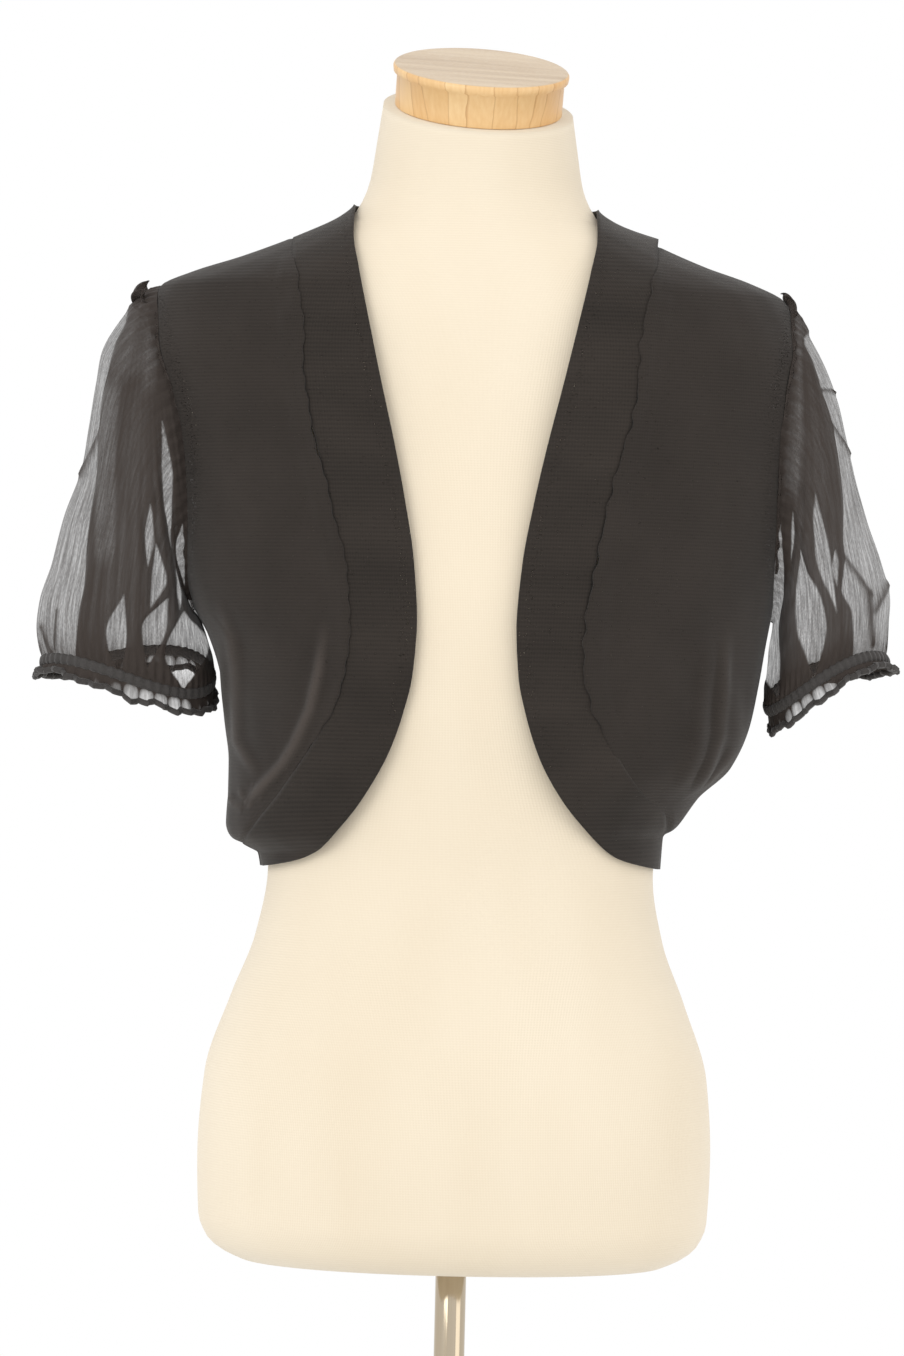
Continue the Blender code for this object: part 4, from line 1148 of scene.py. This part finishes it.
def openness(name, out, height, soft):
    """1 where the chiffon hangs in one layer, in the pane and the slits, and 0 in the folds: the
    edges are curves of the height, blurred over that width, and the creases are bells."""
    pane = table(PANE_COLUMNS, PANE_ROWS[name])
    edge = smooth(height, pane["height"], pane["out"])
    total = step(out, edge - soft, edge + soft)
    for row in CREASE_ROWS[name]:
        crease = dict(zip(CREASE_COLUMNS, row))
        run = np.array((crease["out_to"] - crease["out_from"], crease["height_to"] - crease["height_from"]))
        length = np.hypot(*run)
        dx, dz = out - crease["out_from"], height - crease["height_from"]
        along = np.clip((dx * run[0] + dz * run[1]) / length**2, 0, 1)
        away = np.hypot(dx - along * run[0], dz - along * run[1])
        total = total * (1 - CREASE_DEPTH * np.exp(-((away / crease["half_width"]) ** 2)))
    for row in SLIT_ROWS[name]:
        slit = dict(zip(SLIT_COLUMNS, row))
        knots = np.array((slit["foot_height"], slit["height"], slit["tip_height"]), float)
        edges = [np.array((slit["foot_out"], slit[which], slit["tip_out"]), float)
                 for which in ("inner", "outer")]
        inner, outer = (smooth(height, knots, edge_out) for edge_out in edges)
        inside = step(out, inner - soft, inner + soft) * (1 - step(out, outer - soft, outer + soft))
        total = np.maximum(total, inside * (height > knots[0]) * (height < knots[2]))
    return total


def sleeve_cloth(side, name):
    """The gathered sleeve: its points, its place on the cloth and how dense it looks. The folds
    between the slits stand out as ridges, and the gathers at both ends as short waves."""
    w = np.linspace(0, 1, SLEEVE_STEPS)[:, None]
    even = np.linspace(0, TAU, SLEEVE_AROUND, endpoint=False)[None, :]
    turns = even + FRONT_CROWDING * np.cos(even) + 0 * w
    rows = w + 0 * turns
    base = sleeve_point(side, name, turns, rows)
    around = sleeve_point(side, name, turns + 0.01, rows) - sleeve_point(side, name, turns - 0.01, rows)
    down = sleeve_point(side, name, turns, np.minimum(rows + 0.01, 1)) - sleeve_point(
        side, name, turns, np.maximum(rows - 0.01, 0))
    normal = unit(np.cross(around, down))
    normal = normal * np.sign(np.sum(normal[SLEEVE_STEPS // 2, 0] * (side, 0, 0)))
    outer = ((1 + np.cos(turns)) / 2) ** 2
    base = base + normal * (outer * smooth(rows, OUTLINE["down"], OUTLINE[name]))[..., None]

    out, height = np.abs(base[..., 0]), base[..., 2]
    front = step(np.sin(turns), -0.1, 0.1)
    folded = 1 - openness(name, out, height, SLIT_EDGE)
    ridged = 1 - openness(name, out, height, RIDGE_EDGE)
    root, cuff = np.exp(-rows / 0.07), np.exp(-(1 - rows) / 0.05)
    middle = np.sin(np.pi * rows)
    fine = np.sin(ROOT_GATHERS * turns) * root + np.sin(CUFF_GATHERS * turns) * cuff
    hold = np.clip(rows / 0.04, 0, 1) * np.clip((1 - rows) / 0.03, 0, 1)
    puff = dict(zip(PUFF_COLUMNS, PUFF_ROW))
    broad = puff["all_round"] + puff["outer"] * np.cos(turns) + puff["front_and_back"] * np.sin(turns) ** 2
    broad = middle**1.2 * broad
    crown_out, crown_height = CROWN[name]
    fan = (out - crown_out) / np.maximum(crown_height - height, FAN_NEAREST)
    streak = ripple(fan * FAN, height / 60, 61 + side)
    waves = (0.3 + 0.7 * (1 - front)) * ripple(turns * 16, rows * 5, 21) * middle
    ridges = front * middle**0.5 * (RIDGE * ridged + 0.6 * folded * streak)
    total = hold * (0.9 * fine + ridges) + broad + waves
    grid = base + normal * total[..., None]
    length = np.linalg.norm(np.diff(grid, axis=1), axis=-1)
    u = np.concatenate((np.zeros((SLEEVE_STEPS, 1)), np.cumsum(length, 1)), 1)
    uv = np.stack((np.repeat(u.mean(0)[None], SLEEVE_STEPS, 0), rows * SLEEVE_LENGTH), -1)
    dense = FRONT_DENSE + FRONT_STREAK * streak
    for near, far, low, high, much in FLECKED[name]:
        across = step(out, near, near + 4) * (1 - step(out, far - 4, far))
        dense = dense - much * across * step(height, low, low + 20) * (1 - step(height, high - 20, high))
    dense = front * folded * dense + (1 - front) * ridged * BACK_DENSE
    dense = dense + (ROOT_DENSE + 0.1 * fine) * root + (CUFF_DENSE + 0.12 * fine) * cuff
    return grid, uv, dense


def make_sleeve(side, name):
    """The sleeve's chiffon, one layer thick."""
    grid, uv, dense = sleeve_cloth(side, name)
    grid, uv, values = outwards(grid, uv, {"dense": dense})
    uv = np.concatenate((uv, uv[:, -1:] + (uv[:, -1:] - uv[:, -2:-1])), 1)
    return one_layer(f"sleeve_{name}_chiffon", grid, uv, CHIFFON, [f"sleeve_{name}"], True,
                     values)


def make_casing(side, name):
    """Elastic casing round the cuff: an oval tube whose ribs are a sine and an unevenness."""
    turns = np.linspace(0, TAU, CASING_AROUND, endpoint=False)
    cuff, down = cuff_line(side, turns, name)
    outward = unit(cuff - cuff.mean(0))
    rib = np.sin(CASING_RIBS * turns) * 0.5 + 0.3 * ripple(turns * 40, 0 * turns, 31)
    centre = cuff + down * (CASING_GAP + CASING_HEIGHT / 2 - CASING_LIFT)
    return tube(f"casing_{name}_elastic", centre + outward * (0.3 * rib)[:, None],
                outward * (CASING_WALL / 2 + 0.35 * rib)[:, None],
                down * (CASING_HEIGHT / 2 + CASING_LAP + 0.5 * rib)[:, None] + 0 * cuff,
                GATHERED, [f"cuff_casing_{name}"], CASING_SIDES)


def make_ruffle(side, name):
    """Ruffle under the casing and its rolled edge. The waves grow towards the free edge and lie
    calm beside the body; it looks dense at its root, in its dips and where it is crowded."""
    turns = np.linspace(0, TAU, RUFFLE_WAVES * RUFFLE_WAVE_STEPS, endpoint=False)
    share = np.linspace(0, 1, RUFFLE_ROWS)[:, None]
    c, s = np.cos(turns), np.sin(turns)
    beat = RUFFLE_WAVES * turns + 1.1 * ripple(turns * 3, 0 * turns, 41 + side)
    size = 1 + RUFFLE_UNEVEN * ripple(turns * 6, 0 * turns, 51 + side)
    size = size - RUFFLE_MORE_INSIDE * c + RUFFLE_MORE_IN_FRONT * s**2
    cuff, down = cuff_line(side, turns, name)
    outward = unit(cuff - cuff.mean(0))
    along = unit(np.roll(cuff, -1, 0) - np.roll(cuff, 1, 0))
    lobe = np.abs(np.cos(beat / 2)) ** 0.7
    calm = 1 - RUFFLE_CALM * step(-c, 0.4, 0.9)
    reach = RUFFLE_FLARE * share + RUFFLE_WAVE * share * size * calm * np.cos(beat)
    slip = -RUFFLE_CURL * share * calm * np.sin(2 * beat)
    length = RUFFLE_LENGTH * size * (1 - RUFFLE_SCALLOP + RUFFLE_SCALLOP * lobe)
    fall = CASING_GAP + CASING_HEIGHT - RUFFLE_LAP + share * length
    grid = cuff + down * fall[..., None] + outward * reach[..., None] + along * slip[..., None]
    uv = np.stack((turns * CUFF_RADIUS + 0 * share, SLEEVE_LENGTH + share * RUFFLE_LENGTH + 0 * turns), -1)
    rib = np.exp(-((lobe / 0.66) ** 2))
    crowded = RUFFLE_CROWDED * (step(c, -0.1, 0.15) + step(-c, 0.66, 0.8))
    values = {"dense": RUFFLE_SHEER + 0.5 * np.exp(-share / 0.2) + 0.5 * rib + crowded}
    edge_path = grid[-1].copy()
    grid, uv, values = outwards(grid, uv, values)
    uv = np.concatenate((uv, uv[:, -1:] * 2 - uv[:, -2:-1]), 1)
    ruffle = one_layer(f"ruffle_{name}_chiffon", grid, uv, CHIFFON, [f"cuff_ruffle_{name}"],
                       True, values)
    rolled = tube(f"ruffle_{name}_edge", edge_path, outward * ROLLED_EDGE, down * ROLLED_EDGE + 0 * cuff,
                  GATHERED, [], EDGE_SIDES)
    return ruffle, rolled


def make_frill(side, name):
    """Frill along the armhole: a curve out from the seam, whose angle goes from its start over its
    middle to its tip, swept along the seam. It is tall at the top and low further down."""
    reach = radians(FRILL_REACH)
    turns = np.linspace(-reach, reach, FRILL_AROUND)
    seam, normals, inwards = armhole_outline(side, turns)
    root = seam + normals * (KNIT_WALL + FRILL_GAP) - inwards * FRILL_SINK
    near_top = 1 - step(np.abs(turns), radians(FRILL_CREST) * 0.7, radians(FRILL_CREST))
    nod = (1 + np.cos(FRILL_WAVES[name] * turns + 0.3)) / 2
    lean_in, lean_out = (dict(zip(FRILL_COLUMNS, rows[name])) for rows in (FRILL_IN, FRILL_OUT))
    lobe = {key: lean_out[key] + (lean_in[key] - lean_out[key]) * nod for key in FRILL_COLUMNS}
    foot_beat = FOOT_WAVES * turns + 3 * ripple(turns * 5, 0 * turns, 71 + side)
    share = np.linspace(0, 1, FRILL_ROWS)[:, None]
    tall = lobe["length"] * (1 - FRILL_DIP[name] * np.sin(np.pi * nod))
    length = FRILL_LOW + FOOT_WAVE * np.cos(foot_beat) + (tall - FRILL_LOW) * near_top
    angle = lobe["start"] + (lobe["middle"] - lobe["start"]) * step(share, 0.2, 0.45)
    angle = np.radians(angle + (lobe["tip"] - lobe["middle"]) * step(share, 0.5, 1))
    angle = FRILL_LOW_ANGLE + (angle - FRILL_LOW_ANGLE) * near_top
    pace = length / (FRILL_ROWS - 1)
    forth = np.cumsum(np.sin(angle), 0) * pace + FOOT_WAVE * share * np.sin(foot_beat)
    grid = root + normals * (np.cumsum(np.cos(angle), 0) * pace)[..., None] + inwards * forth[..., None]
    uv = np.stack((turns * ARMHOLE_RADIUS + 0 * share, share * FRILL_ON_CLOTH + 0 * turns), -1)
    dense = {"dense": (0.38 + 0.2 * np.exp(-share / 0.4)) + 0 * turns}
    across = unit(np.cross(np.gradient(grid, axis=1), np.gradient(grid, axis=0)))
    return two_layers(f"frill_{name}_chiffon", grid, grid + across * FRILL_WALL, uv, CHIFFON,
                      [f"armhole_frill_{name}"], values=dense)


def make_sleeves():
    """Each side's sleeve, elastic casing, cuff ruffle with a rolled edge and armhole frill."""
    for side, name in SIDES:
        sleeve = make_sleeve(side, name)
        casing = make_casing(side, name)
        ruffle, rolled = make_ruffle(side, name)
        frill = make_frill(side, name)


def make_floor():
    """A pale floor, level with the foot's underside."""
    ground = bpy.data.meshes.new("floor")
    half = FLOOR_HALF * MM
    corners = [(-half, -half, 0), (half, -half, 0), (half, half, 0), (-half, half, 0)]
    ground.from_pydata(corners, [], [(0, 1, 2, 3)])
    material, _, shader = new_material("pale_floor", Roughness=0.9)
    shader.inputs["Base Color"].default_value = (0.86, 0.86, 0.85, 1)
    ground.materials.append(material)
    floor = bpy.data.objects.new("floor", ground)
    bpy.context.scene.collection.objects.link(floor)


def make_lamp(name, place, size, power, colour):
    """A soft rectangular lamp that faces the cardigan."""
    lamp = bpy.data.lights.new(name, "AREA")
    lamp.shape = "RECTANGLE"
    lamp.size, lamp.size_y = size
    lamp.energy = power
    lamp.color = colour
    made = bpy.data.objects.new(name, lamp)
    back = unit(np.array(place, float) - np.array(LIT_PLACE))
    across = unit(np.cross((0, 0, 1), back))
    up = np.cross(back, across)
    turned = np.stack((across, up, back), 1).tolist()
    made.matrix_world = Matrix([[*row, w] for row, w in zip(turned, place)] + [[0, 0, 0, 1]])
    bpy.context.scene.collection.objects.link(made)


def make_stage():
    """A pale floor, white surroundings and soft studio light."""
    make_floor()
    world = bpy.data.worlds.new("white_surroundings")
    world.use_nodes = True
    backdrop = world.node_tree.nodes["Background"]
    backdrop.inputs["Color"].default_value = (1.0, 1.0, 1.0, 1)
    backdrop.inputs["Strength"].default_value = WORLD_STRENGTH
    bpy.context.scene.world = world
    bpy.context.scene.view_settings.view_transform = "Standard"
    for row in LIGHTS:
        make_lamp(*row)


def make_camera():
    """Level camera, rolled about its own axis; the long side of the frame spans the view height."""
    lens = bpy.data.cameras.new("camera")
    lens.sensor_width = SENSOR
    lens.lens = SENSOR * CAMERA_AWAY / VIEW_HEIGHT
    lens.clip_end = 50
    camera = bpy.data.objects.new("camera", lens)
    roll = radians(CAMERA_ROLL)
    c, s = np.cos(roll), np.sin(roll)
    x, y, z = CAMERA_SHIFT * MM, -CAMERA_AWAY * MM, CAMERA_HEIGHT * MM
    camera.matrix_world = Matrix(((c, -s, 0, x), (0, 0, -1, y), (s, c, 0, z), (0, 0, 0, 1)))
    bpy.context.scene.collection.objects.link(camera)
    bpy.context.scene.camera = camera


make_camera()
make_form()
make_body()
make_sleeves()
make_stage()
